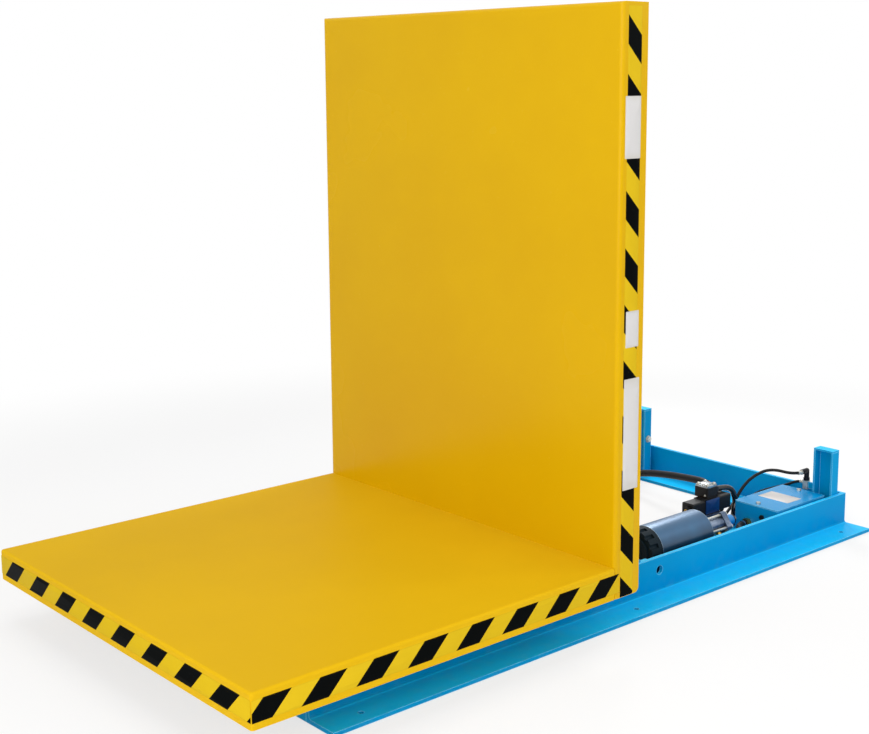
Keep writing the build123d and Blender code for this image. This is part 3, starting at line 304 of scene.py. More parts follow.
# Metals: a base tone that drifts, streaks along the tool's way, and grains or pits by casting
metalLooks = {
    "castAluminium": dict(shine=1.0, light=(136, 150, 170), deep=(84, 98, 120), rough=0.42, grain=190.0,
                          relief=0.35, streak=(1, 1, 1)),
    "brightCover": dict(shine=1.0, light=(190, 196, 200), deep=(128, 136, 142), rough=0.24, grain=70.0,
                        relief=0.12, streak=(1, 9, 1)),
    "zincPlate": dict(shine=0.6, light=(214, 215, 210), deep=(172, 172, 162), rough=0.3, grain=140.0,
                      relief=0.1, streak=(1, 1, 1)),
    "blackOxide": dict(shine=1.0, light=(48, 48, 50), deep=(30, 30, 32), rough=0.38, grain=200.0,
                       relief=0.12, streak=(1, 1, 1)),
    "machinedBrass": dict(shine=1.0, light=(196, 158, 84), deep=(146, 112, 56), rough=0.3, grain=120.0,
                          relief=0.1, streak=(8, 1, 1)),
    "sinteredBronze": dict(shine=1.0, light=(168, 124, 70), deep=(126, 90, 48), rough=0.45, grain=420.0,
                           relief=0.25, streak=(1, 1, 1)),
    "groundSteel": dict(shine=1.0, light=(188, 190, 194), deep=(148, 150, 156), rough=0.28, grain=60.0,
                        relief=0.08, streak=(1, 14, 1)),
    "hardChrome": dict(shine=1.0, light=(218, 220, 224), deep=(196, 198, 204), rough=0.12, grain=50.0,
                       relief=0.03, streak=(1, 12, 12)),
}


def metal(name, look):
    finish = Finish(name)
    grain = finish.noise(look["grain"], 3.0, finish.stretch(look["streak"]))
    drift = finish.noise(18.0, 3.0)
    stain = finish.patches(46.0, 4.0, 0.5, 0.78)
    tone = finish.steps(drift + grain.sway(0.4), 0.3, 0.7)
    finish.wire("Base Color", finish.mix(tone, look["deep"], look["light"]))
    finish.wire("Metallic", look["shine"] - stain * 0.12)
    finish.wire("Roughness", look["rough"] + grain.sway(0.2) + stain * 0.08)
    finish.bump(grain, look["relief"], 0.0012)
    return finish.material


# Moulded black plastics and the motor's dull end: fine leathery grain with pale scuffs
blackLooks = {
    "mouldedBlack": dict(light=(23, 24, 27), deep=(15, 16, 18), rough=0.45, grain=620.0, relief=0.12, gloss=0.25),
    "bellBlack": dict(light=(16, 35, 45), deep=(10, 24, 32), rough=0.65, grain=260.0, relief=0.2, gloss=0.15),
    "valveBlack": dict(light=(20, 22, 26), deep=(13, 15, 18), rough=0.36, grain=300.0, relief=0.15, gloss=0.3),
}
scuffTone = (92, 92, 92)


def blackSkin(name, look):
    finish = Finish(name, **{"Specular IOR Level": look["gloss"]})
    grain = finish.noise(look["grain"], 3.0)
    drift = finish.noise(14.0, 3.0)
    scuff = finish.patches(75.0, 4.0, 0.68, 0.8, finish.stretch((1.0, 3.0, 1.0)))
    colour = finish.mix(drift, look["deep"], look["light"])
    finish.wire("Base Color", finish.mix(scuff * 0.25, colour, scuffTone))
    finish.wire("Roughness", look["rough"] + grain.sway(0.15) + scuff * 0.1)
    finish.bump(grain, look["relief"], 0.0008)
    return finish.material


# Hose and cable skins follow the tube's own map: u along it in centimetres, v once round it
hoseLooks = {
    "hoseRubber": dict(light=(27, 25, 25), deep=(16, 15, 15), rough=0.52, wraps=3.0, relief=0.3, gloss=0.2),
    "cableSheath": dict(light=(17, 17, 19), deep=(11, 11, 12), rough=0.14, wraps=0.0, relief=0.03, gloss=0.6),
}
hoseDustTone = (120, 116, 110)
fullTurn = 6.2832  # radians


def hoseSkin(name, look):
    finish = Finish(name, **{"Specular IOR Level": look["gloss"]})
    along, around = finish.coordinate("UV", "X"), finish.coordinate("UV", "Y")
    weave = ((along * look["wraps"] + around * 2) * fullTurn).alone("SINE")
    drift = finish.noise(26.0, 3.0)
    dust = finish.patches(120.0, 4.0, 0.55, 0.85)
    colour = finish.mix(drift, look["deep"], look["light"])
    finish.wire("Base Color", finish.mix(dust * 0.12, colour, hoseDustTone))
    finish.wire("Roughness", look["rough"] + weave * 0.03 + dust * 0.1)
    finish.bump(weave * 0.5 + finish.noise(500.0) * 0.4, look["relief"], 0.0006)
    return finish.material


# Hazard tape: the map's u counts stripes with their lean already in it, v runs across the tape
tapeLook = dict(yellow=(216, 182, 33), faded=(208, 174, 29), black=(10, 12, 12), greyed=(18, 20, 20),
                grime=(130, 104, 30), duty=0.497, rough=0.36, gloss=0.005)


def hazardTape(name, look):
    finish = Finish(name, **{"Specular IOR Level": look["gloss"]})
    dark = finish.coordinate("UV", "X").alone("FRACT") < look["duty"]
    clouds = finish.noise(11.0, 3.0)
    rubbed = finish.patches(95.0, 4.0, 0.62, 0.8)
    grime = finish.steps(finish.offMiddle(), 0.44, 0.5) * 0.1
    yellow = finish.mix(clouds, look["faded"], look["yellow"])
    black = finish.mix(rubbed, look["black"], look["greyed"])
    finish.wire("Base Color", finish.mix(grime, finish.mix(dark, yellow, black), look["grime"]))
    finish.wire("Roughness", look["rough"] + clouds.sway(0.14) + rubbed * 0.08)
    finish.bump(finish.noise(42.0, 3.0) + dark * 0.08, 0.08, 0.002)
    return finish.material


# Blank stickers: plain white vinyl, a little yellowed towards the rim, with faint ripples
stickerLook = dict(white=(206, 204, 203), rim=(194, 190, 182), rough=0.4, gloss=0.2)


def blankVinyl(name, look):
    finish = Finish(name, **{"Specular IOR Level": look["gloss"]})
    clouds = finish.noise(30.0, 3.0)
    aged = finish.steps(finish.offMiddle() + clouds.sway(0.12), 0.38, 0.52)
    finish.wire("Base Color", finish.mix(aged * 0.7, look["white"], look["rim"]))
    finish.wire("Roughness", look["rough"] + clouds.sway(0.15))
    finish.bump(finish.noise(55.0, 3.0), 0.1, 0.001)
    return finish.material


# Valve plate: deep blue anodised sheet with a brushed grain
plateLook = dict(light=(8, 62, 124), deep=(4, 48, 100), rough=0.4, gloss=0.5)


def bluePlate(name, look):
    finish = Finish(name, **{"Specular IOR Level": look["gloss"]})
    brush = finish.noise(90.0, 3.0, finish.stretch((1.0, 1.0, 12.0)))
    finish.wire("Base Color", finish.mix(brush, look["deep"], look["light"]))
    finish.wire("Metallic", 0.2 + brush * 0.1)
    finish.wire("Roughness", look["rough"] + brush.sway(0.2))
    finish.bump(brush, 0.08, 0.0005)
    return finish.material


makers = [(paint, paintLooks), (motorEnamel, {"motorEnamel": motorLook}), (metal, metalLooks),
          (blackSkin, blackLooks), (hoseSkin, hoseLooks), (hazardTape, {"hazardTape": tapeLook}),
          (blankVinyl, {"blankVinyl": stickerLook}), (bluePlate, {"bluePlate": plateLook})]
finishes = {name: maker(name, look) for maker, looks in makers for name, look in looks.items()}
print("finishes:", len(finishes))

# Which finish each carried-over CAD node wears
nodeFinishes = {
    "deckYellow": ["horizontal_deck"],
    "uprightYellow": ["upright_deck"],
    "frameYellow": ["deck_ribs", "upright_ribs", "pivot_arms", "lever_plates"],
    "frameBlue": ["rail_near", "rail_far", "front_cross_member", "anchor_cross_member", "rear_cross_member",
                  "posts", "post_caps", "pivot_housings", "anchor_lugs", "power_unit_tray", "motor_cradle"],
    "tankBlue": ["tank_body", "tank_lid"],
    "barrelBlack": ["cylinder_barrel_near", "cylinder_barrel_far", "hose_block"],
    "motorEnamel": ["motor_shell"],
    "bellBlack": ["motor_end_bell"],
    "castAluminium": ["pump_body", "pump_cover", "manifold_block"],
    "mouldedBlack": ["solenoids", "wiring_box", "tank_plug", "hose_clips"],
    "valveBlack": ["valve_body"],
    "brightCover": ["wiring_box_cover"],
    "zincPlate": ["pump_bolts", "lid_screws", "post_bolt", "return_fitting"],
    "blackOxide": ["return_elbow"],
    "machinedBrass": ["suction_fitting"],
    "sinteredBronze": ["pivot_bushes"],
    "hoseRubber": ["cylinder_hose", "return_hose", "drain_hose", "suction_hose", "jumper_hoses"],
    "cableSheath": ["valve_cable"],
    "groundSteel": ["pivot_shaft", "anchor_pins", "cylinder_gland_near", "cylinder_gland_far", "piston_near",
                    "piston_far", "rod_pin_near", "rod_pin_far", "motor_rotor", "pump_drive_gear",
                    "pump_idler_gear", "valve_spool"],
    "hardChrome": ["piston_rod_near", "piston_rod_far"],
}
for finishName, nodeNames in nodeFinishes.items():
    for nodeName in nodeNames:
        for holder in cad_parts[nodeName].material_slots:
            holder.material = finishes[finishName]
print("CAD nodes painted:", sum(len(names) for names in nodeFinishes.values()))


# A shell is (points, quads, fans, map of the quads, map of the fans). Each row of points is a closed ring; every
# two neighbouring rings are joined by quads, and a fan to the mean of each end ring closes the ends.
def closedShell(rings, ringMap=None):
    rows, columns = rings.shape[:2]
    index = np.arange(rows * columns).reshape(rows, columns)
    ahead = np.roll(index, -1, axis=1)
    quads = np.stack([index[:-1], ahead[:-1], ahead[1:], index[1:]], axis=-1).reshape(-1, 4)
    first, last = np.full(columns, rows * columns), np.full(columns, rows * columns + 1)
    fans = np.vstack([np.stack([first, ahead[0], index[0]], axis=-1),
                      np.stack([last, index[-1], ahead[-1]], axis=-1)])
    points = np.vstack([rings.reshape(-1, 3), rings[0].mean(axis=0), rings[-1].mean(axis=0)])
    if ringMap is None:
        u, v = np.meshgrid(np.arange(rows), np.linspace(0, 1, columns + 1), indexing="ij")
        ringMap = np.stack([u, v], axis=-1)
    corners = [ringMap[:-1, :-1], ringMap[:-1, 1:], ringMap[1:, 1:], ringMap[1:, :-1]]
    quadMap = np.stack(corners, axis=2).reshape(-1, 4, 2)
    ends = []
    for row, order in ((0, (1, 0)), (-1, (0, 1))):
        edge = np.stack([ringMap[row, :-1], ringMap[row, 1:]])
        middle = np.broadcast_to(ringMap[row, :-1].mean(axis=0), edge[0].shape)
        ends.append(np.stack([middle, edge[order[0]], edge[order[1]]], axis=1))
    return points, quads, fans, quadMap, np.vstack(ends)


def addPiece(name, shells, finish, body, sharp=38.0):
    points, faces, maps, start = [], [], [], 0
    for shellPoints, quads, fans, quadMap, fanMap in shells:
        points.append(shellPoints)
        faces += (quads + start).tolist() + (fans + start).tolist()
        maps += [quadMap.reshape(-1, 2), fanMap.reshape(-1, 2)]
        start += len(shellPoints)
    mesh = bpy.data.meshes.new(name)
    mesh.from_pydata(np.vstack(points).tolist(), [], faces)
    mesh.uv_layers.new(name="pieceMap").data.foreach_set("uv", np.vstack(maps).ravel())
    mesh.shade_smooth()
    mesh.set_sharp_from_angle(angle=np.radians(sharp))
    mesh.materials.append(finishes[finish])
    piece = bpy.data.objects.new(name, mesh)
    scene.collection.objects.link(piece)
    if body:
        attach(piece, body)
    return piece


def crossAxes(axis):  # two unit vectors square to the axis, turning the right-handed way about it
    axis = np.asarray(axis, float) / np.linalg.norm(axis)
    aside = np.eye(3)[np.argmin(np.abs(axis))]
    first = np.cross(aside, axis)
    first /= np.linalg.norm(first)
    return axis, first, np.cross(axis, first)


# Turned piece: ring point = centre + along * axis + radius * (cos t, sin t). On a hexagon row the radius is the
# half width across flats divided by the cosine of the angle from the nearest flat's middle.
# A profile row is (along, radius), with a third number 1 on a hexagon row.
def turned(centre, axis, profile, sides=36):
    axis, first, second = crossAxes(axis)
    angle = np.arange(sides) * 2 * np.pi / sides
    flat = np.cos((angle + np.pi / 6) % (np.pi / 3) - np.pi / 6)
    rows = np.array([(row + (0,))[:3] for row in profile], float)
    radius = rows[:, 1:2] / np.where(rows[:, 2:3] > 0, flat, 1.0) / 1000
    circle = np.cos(angle)[:, None] * first + np.sin(angle)[:, None] * second
    rings = centre + rows[:, 0][:, None, None] / 1000 * axis + radius[:, :, None] * circle
    return closedShell(rings)


# Tube: ring point = path point + radius * (cos t * n + sin t * b), with n carried along the path without twist.
def tube(path, radius, sides=18):
    path = np.asarray(path, float)
    way = np.gradient(path, axis=0)
    way /= np.linalg.norm(way, axis=1, keepdims=True)
    normal = np.empty_like(path)
    normal[0] = crossAxes(way[0])[1]
    for i in range(1, len(path)):  # take the last ring's n and square it to the new way
        carried = normal[i - 1] - way[i] * (normal[i - 1] @ way[i])
        normal[i] = carried / np.linalg.norm(carried)
    side = np.cross(way, normal)
    angle = np.arange(sides) * 2 * np.pi / sides
    radius = np.broadcast_to(np.asarray(radius, float), len(path))[:, None, None]
    circle = np.cos(angle)[None, :, None] * normal[:, None] + np.sin(angle)[None, :, None] * side[:, None]
    length = np.concatenate([[0], np.cumsum(np.linalg.norm(np.diff(path, axis=0), axis=1))])
    u, v = np.meshgrid(length * 100, np.linspace(0, 1, sides + 1), indexing="ij")
    return closedShell(path[:, None] + radius * circle, np.stack([u, v], axis=-1))


# Outline with rounded corners: four quarter circles whose ends are joined by straight sides, counter-clockwise.
def roundedOutline(width, height, corner, steps=6):
    corner = np.broadcast_to(np.asarray(corner, float), 4)
    angle = np.linspace(0, np.pi / 2, steps + 1)
    quarters = []
    for turn, (signX, signY) in enumerate(((1, 1), (-1, 1), (-1, -1), (1, -1))):
        t = angle + turn * np.pi / 2
        middle = np.array([signX * (width / 2 - corner[turn]), signY * (height / 2 - corner[turn])])
        quarters.append(middle + corner[turn] * np.stack([np.cos(t), np.sin(t)], axis=1))
    return np.vstack(quarters)


leastCorner = 0.05  # millimetres left of a corner's radius when a layer is drawn in


# Slab: the outline drawn in by each layer's inset and lifted to its height. The map is the place on the slab, from
# 0 to 1 each way, or what mapOf makes of the place in millimetres.
def slab(middle, ex, ey, width, height, corner, layers, mapOf=None):
    ex, ey = np.asarray(ex, float), np.asarray(ey, float)
    up = np.cross(ex, ey)
    rings, flats = [], []
    for lift, inset in layers:
        rounding = np.maximum(np.asarray(corner) - inset, leastCorner)
        outline = roundedOutline(width - 2 * inset, height - 2 * inset, rounding)
        rings.append(middle + (outline[:, :1] * ex + outline[:, 1:] * ey + lift * up) / 1000)
        flats.append(np.vstack([outline, outline[:1]]))
    flats = np.array(flats)
    ringMap = mapOf(flats) if mapOf else flats / np.array([width, height]) + 0.5
    return closedShell(np.array(rings), ringMap)


def plainLayers(thick, edge):  # a slab with its upper edge eased
    return [(0, 0), (thick - edge, 0), (thick - edge * 0.3, edge * 0.3), (thick, edge)]


beadLook = dict(step=1.8, ripple=5.0, swell=0.14, tip=0.35)  # step and ripple in millimetres


# Weld bead: a tube whose radius swells with each ripple, abs(sin), and dies away over the last few millimetres.
def bead(start, end, size):
    start, end = np.asarray(start), np.asarray(end)
    length = np.linalg.norm(end - start) * 1000
    along = np.linspace(0, length, max(int(length / beadLook["step"]), 6))
    ends = np.minimum(1, np.minimum(along, length - along) / size + beadLook["tip"])
    ripple = np.abs(np.sin(along * np.pi / beadLook["ripple"]))
    radius = size * ends * (1 - beadLook["swell"] + beadLook["swell"] * ripple)
    path = start + (end - start) * (along / length)[:, None]
    return tube(path, radius / 1000, sides=8)


# Hoses: each route's points are the control points of a NURBS spline, and the tube follows points read from it.
# Sleeves are the lengths of the crimped ends at the route's start and far end.
hoseRoutes = {
    "cylinderHose": dict(node="cylinder_hose", width=24, skin="hoseRubber", sleeves=(26, 26), route=[
        (896, -212, 64), (956, -212, 64), (1008, -165, 92), (1030, -92, 124), (1044, -8, 116), (1060, 78, 105),
        (1074, 165, 91), (1088, 250, 72), (1085, 335, 42), (1010, 392, 21), (900, 412, 20), (45, 412, 20),
        (-55, 375, 20), (-105, 285, 20), (-112, 180, 22), (-118, 95, 32), (-150, 28, 44), (-200, 0, 48),
        (-250, 0, 48)]),
    "returnHose": dict(node="return_hose", width=10, skin="hoseRubber", sleeves=(16, 13), route=[
        (896, -206, 32), (956, -206, 32), (1040, -194, 66), (1075, -203, 122), (1108, -222, 158),
        (1150, -258, 183), (1186, -327, 170), (1227, -327, 170)]),
    "drainHose": dict(node="drain_hose", width=9, skin="hoseRubber", sleeves=(10, 13), route=[
        (1257, -318, 129), (1257, -294, 129), (1257, -246, 102), (1249, -180, 76), (1227, -153, 62),
        (1195, -152, 53), (1172, -175, 48), (1172, -250, 48)]),
    "suctionHose": dict(node="suction_hose", width=20, skin="hoseRubber", sleeves=(), route=[
        (959, -304, 48), (918, -304, 48), (862, -370.7, 56.4), (793.7, -370.7, 56.4)]),
    "valveCable": dict(node="valve_cable", width=18, skin="cableSheath", sleeves=(), route=[
        (895, -216, 151), (930, -216, 151), (994, -219, 142), (1013, -225, 99), (998, -228, 58),
        (998, -228, 16)]),
}
# Jumpers on the far side, from the junction block to a barrel's ports; the barrel's lift is in degrees
jumperLook = dict(width=12, sleeves=(11, 14), lift=9.42602, routes=[
    [(-260, 45, 60), (-260, 83, 60), (-233.05, 105.5, 87.77), (-233.05, 143.5, 87.77)],
    [(-250, 28, 60), (-195, 28, 60), (-141.3, 143.5, 103.0), (-87.05, 143.5, 112.01)]])


def splinePath(route, fineness=14, least=1e-5):  # points read from a smooth spline with the route as its controls
    curve = bpy.data.curves.new("routeSpline", "CURVE")
    curve.dimensions = "3D"
    spline = curve.splines.new("NURBS")
    spline.points.add(len(route) - 1)
    for point, place in zip(spline.points, route):
        point.co = (*spot(*place), 1.0)
    spline.order_u = 3
    spline.use_endpoint_u = True
    spline.resolution_u = fineness
    holder = bpy.data.objects.new("routeSpline", curve)
    line = bpy.data.meshes.new_from_object(holder)
    points = np.empty(len(line.vertices) * 3)
    line.vertices.foreach_get("co", points)
    bpy.data.objects.remove(holder)
    bpy.data.curves.remove(curve)
    bpy.data.meshes.remove(line)
    points = points.reshape(-1, 3)
    fresh = np.linalg.norm(np.diff(points, axis=0), axis=1) > least
    return points[np.concatenate([[True], fresh])]


for name, look in hoseRoutes.items():
    shell = tube(splinePath(look["route"]), look["width"] / 2000)
    piece = addPiece(name, [shell], look["skin"], "base")
    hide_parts(look["node"])
for side, way in sideWays.items():
    shells = [tube(splinePath(mirrored(route, way)), jumperLook["width"] / 2000) for route in jumperLook["routes"]]
    piece = addPiece("jumperHoses" + side, shells, "hoseRubber", None)
    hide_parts("jumper_hoses")
    tuple(spot(-240, way * 42, 70))
    tuple(spot(-240, way * 136, 70))
    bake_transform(piece)
print("hoses:", len(hoseRoutes) + 2)

hoseEndLook = dict(nut=0.78, grip=1.3, press=0.05, rings=4, rows=25)  # nut in hose widths, grip in half widths


# Hose end: a hexagon nut against the face, a short neck and a crimped sleeve. Along the sleeve the radius drops by
# the press wherever the sine of the place along it is over 0.3, which leaves rings in it.
def hoseEnd(place, way, width, sleeve):
    look = hoseEndLook
    nut, grip = width * look["nut"], width / 2 * look["grip"]
    profile = [(0, nut * 0.9), (0.6, nut, 1), (width * 0.42, nut, 1), (width * 0.46, nut * 0.88),
               (width * 0.5, grip * 0.9)]
    turns = np.linspace(0, 1, look["rows"])
    crimp = grip - look["press"] * grip * (np.sin(turns * np.pi * 2 * look["rings"]) > 0.3)
    profile += [(width * 0.52 + t * sleeve, r) for t, r in zip(turns, crimp)]
    profile += [(width * 0.52 + sleeve + 0.8, grip * 0.93)]
    return turned(spot(*place), way, profile)


baseEnds = []
for look in hoseRoutes.values():
    route = np.array(look["route"], float)
    routeEnds = ((route[0], route[1]), (route[-1], route[-2]))  # each end and the point that it looks at
    for (place, inner), sleeve in zip(routeEnds, look["sleeves"]):
        baseEnds.append(hoseEnd(place, inner - place, look["width"], sleeve))
for way in sideWays.values():
    for route, sleeve in zip(jumperLook["routes"], jumperLook["sleeves"]):
        place, inner = np.array(mirrored(route[:2], way), float)
        baseEnds.append(hoseEnd(place, inner - place, jumperLook["width"], sleeve))
addPiece("hoseEnds", baseEnds, "zincPlate", "base", sharp=28)
barrelLift = np.radians(jumperLook["lift"])
for side, way in sideWays.items():
    portWays = [(0, -way, 0), (-np.cos(barrelLift), 0, -np.sin(barrelLift))]
    ends = [hoseEnd(mirrored(route, way)[-1], portWay, jumperLook["width"], sleeve)
            for route, portWay, sleeve in zip(jumperLook["routes"], portWays, jumperLook["sleeves"])]
    addPiece("portEnds" + side, ends, "zincPlate", "barrel_" + side.lower(), sharp=28)
print("hose ends set")

# Hazard tape on the skirts and on the upright's side flanges. In a tape's own millimetres x runs along its outline
# frame, y up; the map's u is the place along the tape, with the lean added, counted in stripe periods.
deckSide, deckFront = 609.5, -1108  # the faces that the tape lies on
tapeThick, tapeCorner = 0.3, 0.6
skirtTape = dict(width=51, middle=165.5, front=-1107.0, farFront=-1100.0, rear=17.0, period=146.2, mark=-80.4)
frontTape = dict(reach=606.0, period=147.0, mark=-543.0)
uprightTape = dict(left=21.5, right=70.5, foot=125.0, top=1627.0, period=142.4, mark=1535.0, cut=5.0)


def tapeSlab(middle, ex, width, height, corner, mapOf):  # a thin slab on an upright face, its rim eased
    layers = [(0.02, 0), (tapeThick * 0.7, 0), (tapeThick, 0.25)]
    return slab(spot(*middle), ex, (0, 0, 1), width, height, corner, layers, mapOf)


def skirtShell(way):
    look = skirtTape
    front = look["front"] if way < 0 else look["farFront"]
    middleX, length = (front + look["rear"]) / 2, look["rear"] - front

    def mapOf(flat):
        x = middleX - way * flat[..., 0]
        count = (x - flat[..., 1] - look["mark"]) / look["period"]
        return np.stack([count, flat[..., 1] / look["width"] + 0.5], axis=-1)

    middle = (middleX, way * deckSide, look["middle"])
    return tapeSlab(middle, (-way, 0, 0), length, look["width"], tapeCorner, mapOf)


def frontShell():
    look, width = frontTape, skirtTape["width"]

    def mapOf(flat):
        count = (-flat[..., 0] + flat[..., 1] - look["mark"]) / look["period"]
        return np.stack([count, flat[..., 1] / width + 0.5], axis=-1)

    middle = (deckFront, 0, skirtTape["middle"])
    return tapeSlab(middle, (0, -1, 0), 2 * look["reach"], width, tapeCorner, mapOf)


def uprightShell(way):
    look = uprightTape
    middleX, width = (look["left"] + look["right"]) / 2, look["right"] - look["left"]
    middleZ, height = (look["foot"] + look["top"]) / 2, look["top"] - look["foot"]

    def mapOf(flat):
        x, z = middleX - way * flat[..., 0], middleZ + flat[..., 1]
        count = (z + (x - look["left"]) - look["mark"]) / look["period"]
        return np.stack([count, flat[..., 0] / width + 0.5], axis=-1)

    corners = [tapeCorner] * 4
    corners[3 if way < 0 else 2] = look["cut"]  # the lower corner towards the rear is cut rounder
    return tapeSlab((middleX, way * deckSide, middleZ), (-way, 0, 0), width, height, corners, mapOf)


tapeShells = {"skirtTapeNear": skirtShell(-1), "skirtTapeFar": skirtShell(1), "skirtTapeFront": frontShell(),
              "uprightTapeNear": uprightShell(-1), "uprightTapeFar": uprightShell(1)}
for name, shell in tapeShells.items():
    addPiece(name, [shell], "hazardTape", "carriage")

# Blank stickers: (x from, x to, z from, z to) on the near flange, and one on the tank's lid
stickerPlaces = {"stickerTop": (15, 71, 1257, 1410), "stickerMiddle": (28, 76, 782, 875),
                 "stickerLow": (25, 82, 410, 701)}
lidSticker = dict(x=1105, y=-330, width=74, height=116)
stickerCorner = 2.0
for name, (x0, x1, z0, z1) in stickerPlaces.items():
    middle = spot((x0 + x1) / 2, -deckSide - tapeThick, (z0 + z1) / 2)
    layers = [(-tapeThick, 0), (0.12, 0), (0.2, 0.2)]
    shell = slab(middle, (1, 0, 0), (0, 0, 1), x1 - x0, z1 - z0, stickerCorner, layers)
    addPiece(name, [shell], "blankVinyl", "carriage")
lidTop = nodeBox("tank_lid")[1][2]
shell = slab(spot(lidSticker["x"], lidSticker["y"], lidTop), (1, 0, 0), (0, 1, 0), lidSticker["width"],
             lidSticker["height"], stickerCorner, [(0, 0), (0.15, 0), (0.25, 0.2)])
addPiece("stickerLid", [shell], "blankVinyl", "base")
print("tape and stickers set")

# Valve: blue plate on the near face, screws and a raised panel on the wiring box cover, override pins in the coil
# nuts and the cable's gland. Trims are what a piece is smaller by than what it lies on, millimetres.
valveLook = dict(plateTrim=(2, 3), plateLift=0.5, plateCorner=1.5, plateLayers=(1.2, 0.4),
                 screwInset=7.0, screw=(5.4, 4.8), frontScrew=(3.6, 2.4), frontScrewPlace=(10, 8),
                 panelTrim=18, panelCorner=5.0, panelLayers=(2.6, 1.6), pinHeight=24,
                 pin=[(-0.5, 5.5), (1.2, 5.5), (1.8, 5.0), (1.8, 3.0), (4.2, 2.8), (5.0, 2.0)])
glandLook = dict(block=(34, 26), corner=3.0, reach=17, edge=1.5,
                 nut=[(0, 11), (1, 12, 1), (5, 12, 1), (6, 11.2), (10, 9.6)])
valveLow, valveHigh = nodeBox("valve_body")
boxLow = nodeBox("wiring_box")[0]
coverLow, coverHigh = nodeBox("wiring_box_cover")
coilLow, coilHigh = nodeBox("solenoids")
valveMiddle, coverMiddle = (valveLow + valveHigh) / 2, (coverLow + coverHigh) / 2
valveSize, coverSize = valveHigh - valveLow, coverHigh - coverLow

plateShell = slab(mm((valveMiddle[0], valveLow[1], valveMiddle[2] + valveLook["plateLift"])), (1, 0, 0), (0, 0, 1),
                  valveSize[0] - valveLook["plateTrim"][0], valveSize[2] - valveLook["plateTrim"][1],
                  valveLook["plateCorner"], plainLayers(*valveLook["plateLayers"]))
addPiece("valvePlate", [plateShell], "bluePlate", "base")


def screwHead(place, way, size, depth):  # pan head, turned, with a round recess in its middle
    profile = [(0, size), (depth * 0.45, size), (depth * 0.8, size * 0.86), (depth, size * 0.6),
               (depth * 0.98, size * 0.42), (depth * 0.6, size * 0.3), (depth * 0.6, 0.05)]
    return turned(place, way, profile, 24)


coverScrews = []
for signX in (-1, 1):
    for signY in (-1, 1):
        place = (coverMiddle[0] + signX * (coverSize[0] / 2 - valveLook["screwInset"]),
                 coverMiddle[1] + signY * (coverSize[1] / 2 - valveLook["screwInset"]), coverHigh[2])
        coverScrews.append(screwHead(mm(place), (0, 0, 1), *valveLook["screw"]))
screwY, screwZ = valveLook["frontScrewPlace"]
frontScrew = mm((boxLow[0], boxLow[1] + screwY, boxLow[2] + screwZ))
coverScrews.append(screwHead(frontScrew, (-1, 0, 0), *valveLook["frontScrew"]))
addPiece("coverScrews", coverScrews, "zincPlate", "base")
panel = slab(mm((coverMiddle[0], coverMiddle[1], coverHigh[2])), (1, 0, 0), (0, 1, 0),
             coverSize[0] - valveLook["panelTrim"], coverSize[1] - valveLook["panelTrim"],
             valveLook["panelCorner"], plainLayers(*valveLook["panelLayers"]))
addPiece("coverPanel", [panel], "brightCover", "base")
pins = []
for x, way in ((coilLow[0], -1), (coilHigh[0], 1)):
    centre = mm((x, valveMiddle[1], valveLow[2] + valveLook["pinHeight"]))
    pins.append(turned(centre, (way, 0, 0), valveLook["pin"], 24))
addPiece("overridePins", pins, "machinedBrass", "base")
cableStart = np.array(hoseRoutes["valveCable"]["route"][0], float)
glandBlock = slab(spot(*cableStart), (0, 1, 0), (0, 0, 1), *glandLook["block"], glandLook["corner"],
                  plainLayers(glandLook["reach"], glandLook["edge"]))
gland = turned(spot(*(cableStart + [glandLook["reach"], 0, 0])), (1, 0, 0), glandLook["nut"])
addPiece("cableGland", [glandBlock, gland], "mouldedBlack", "base")
print("valve dressed")

# Motor end: raised bearing ring, a dished cap and the heads of two through bolts on the bell's crown
motorEndLook = dict(cap=[(0, 31), (1.8, 31), (2.6, 30), (2.6, 26.5), (1.2, 25.5), (1.0, 12), (2.2, 10), (2.4, 0.1)],
                    bolt=[(0, 6.5), (1, 6.5), (1, 5, 1), (4.4, 5, 1), (5, 4.4)], boltCircle=41, boltTurns=(35, 215))
bellLow, bellHigh = nodeBox("motor_end_bell")
motorAxis = np.array([bellLow[0], (bellLow[1] + bellHigh[1]) / 2, (bellLow[2] + bellHigh[2]) / 2])
bearingCap = turned(mm(motorAxis), (-1, 0, 0), motorEndLook["cap"], 60)
addPiece("bearingCap", [bearingCap], "bellBlack", "base")
boltHeads = []
for turn in np.radians(motorEndLook["boltTurns"]):
    place = motorAxis + motorEndLook["boltCircle"] * np.array([0, np.cos(turn), np.sin(turn)])
    boltHeads.append(turned(mm(place), (-1, 0, 0), motorEndLook["bolt"]))
addPiece("bellBolts", boltHeads, "bellBlack", "base")

# Pump: a blue cap over the boss behind the cover, with a black seal ring and a bright plug in its end
pumpLook = dict(rear=(792, -343.2, 95.7), sleeve=17.6, reach=40.0, ring=16.0, plug=11.0)


def pumpPiece(name, profile, finish):  # turned about the pump's axis, from its rear face
    addPiece(name, [turned(spot(*pumpLook["rear"]), (1, 0, 0), profile)], finish, "base")


reach, sleeve, ring, plug = [pumpLook[key] for key in ("reach", "sleeve", "ring", "plug")]
pumpPiece("pumpBlueCap", [(0.2, sleeve - 0.6), (1.4, sleeve), (reach - 1.4, sleeve), (reach + 0.2, sleeve - 1)],
          "coverBlue")
pumpPiece("pumpSealRing", [(reach, ring - 0.5), (reach + 1, ring), (reach + 7, ring), (reach + 8.2, ring - 1.2)],
          "mouldedBlack")
pumpPiece("pumpRearPlug", [(reach + 8, plug), (reach + 15, plug), (reach + 17.5, plug - 2.5), (reach + 18, 0.1)],
          "brightCover")
print("motor and pump dressed")

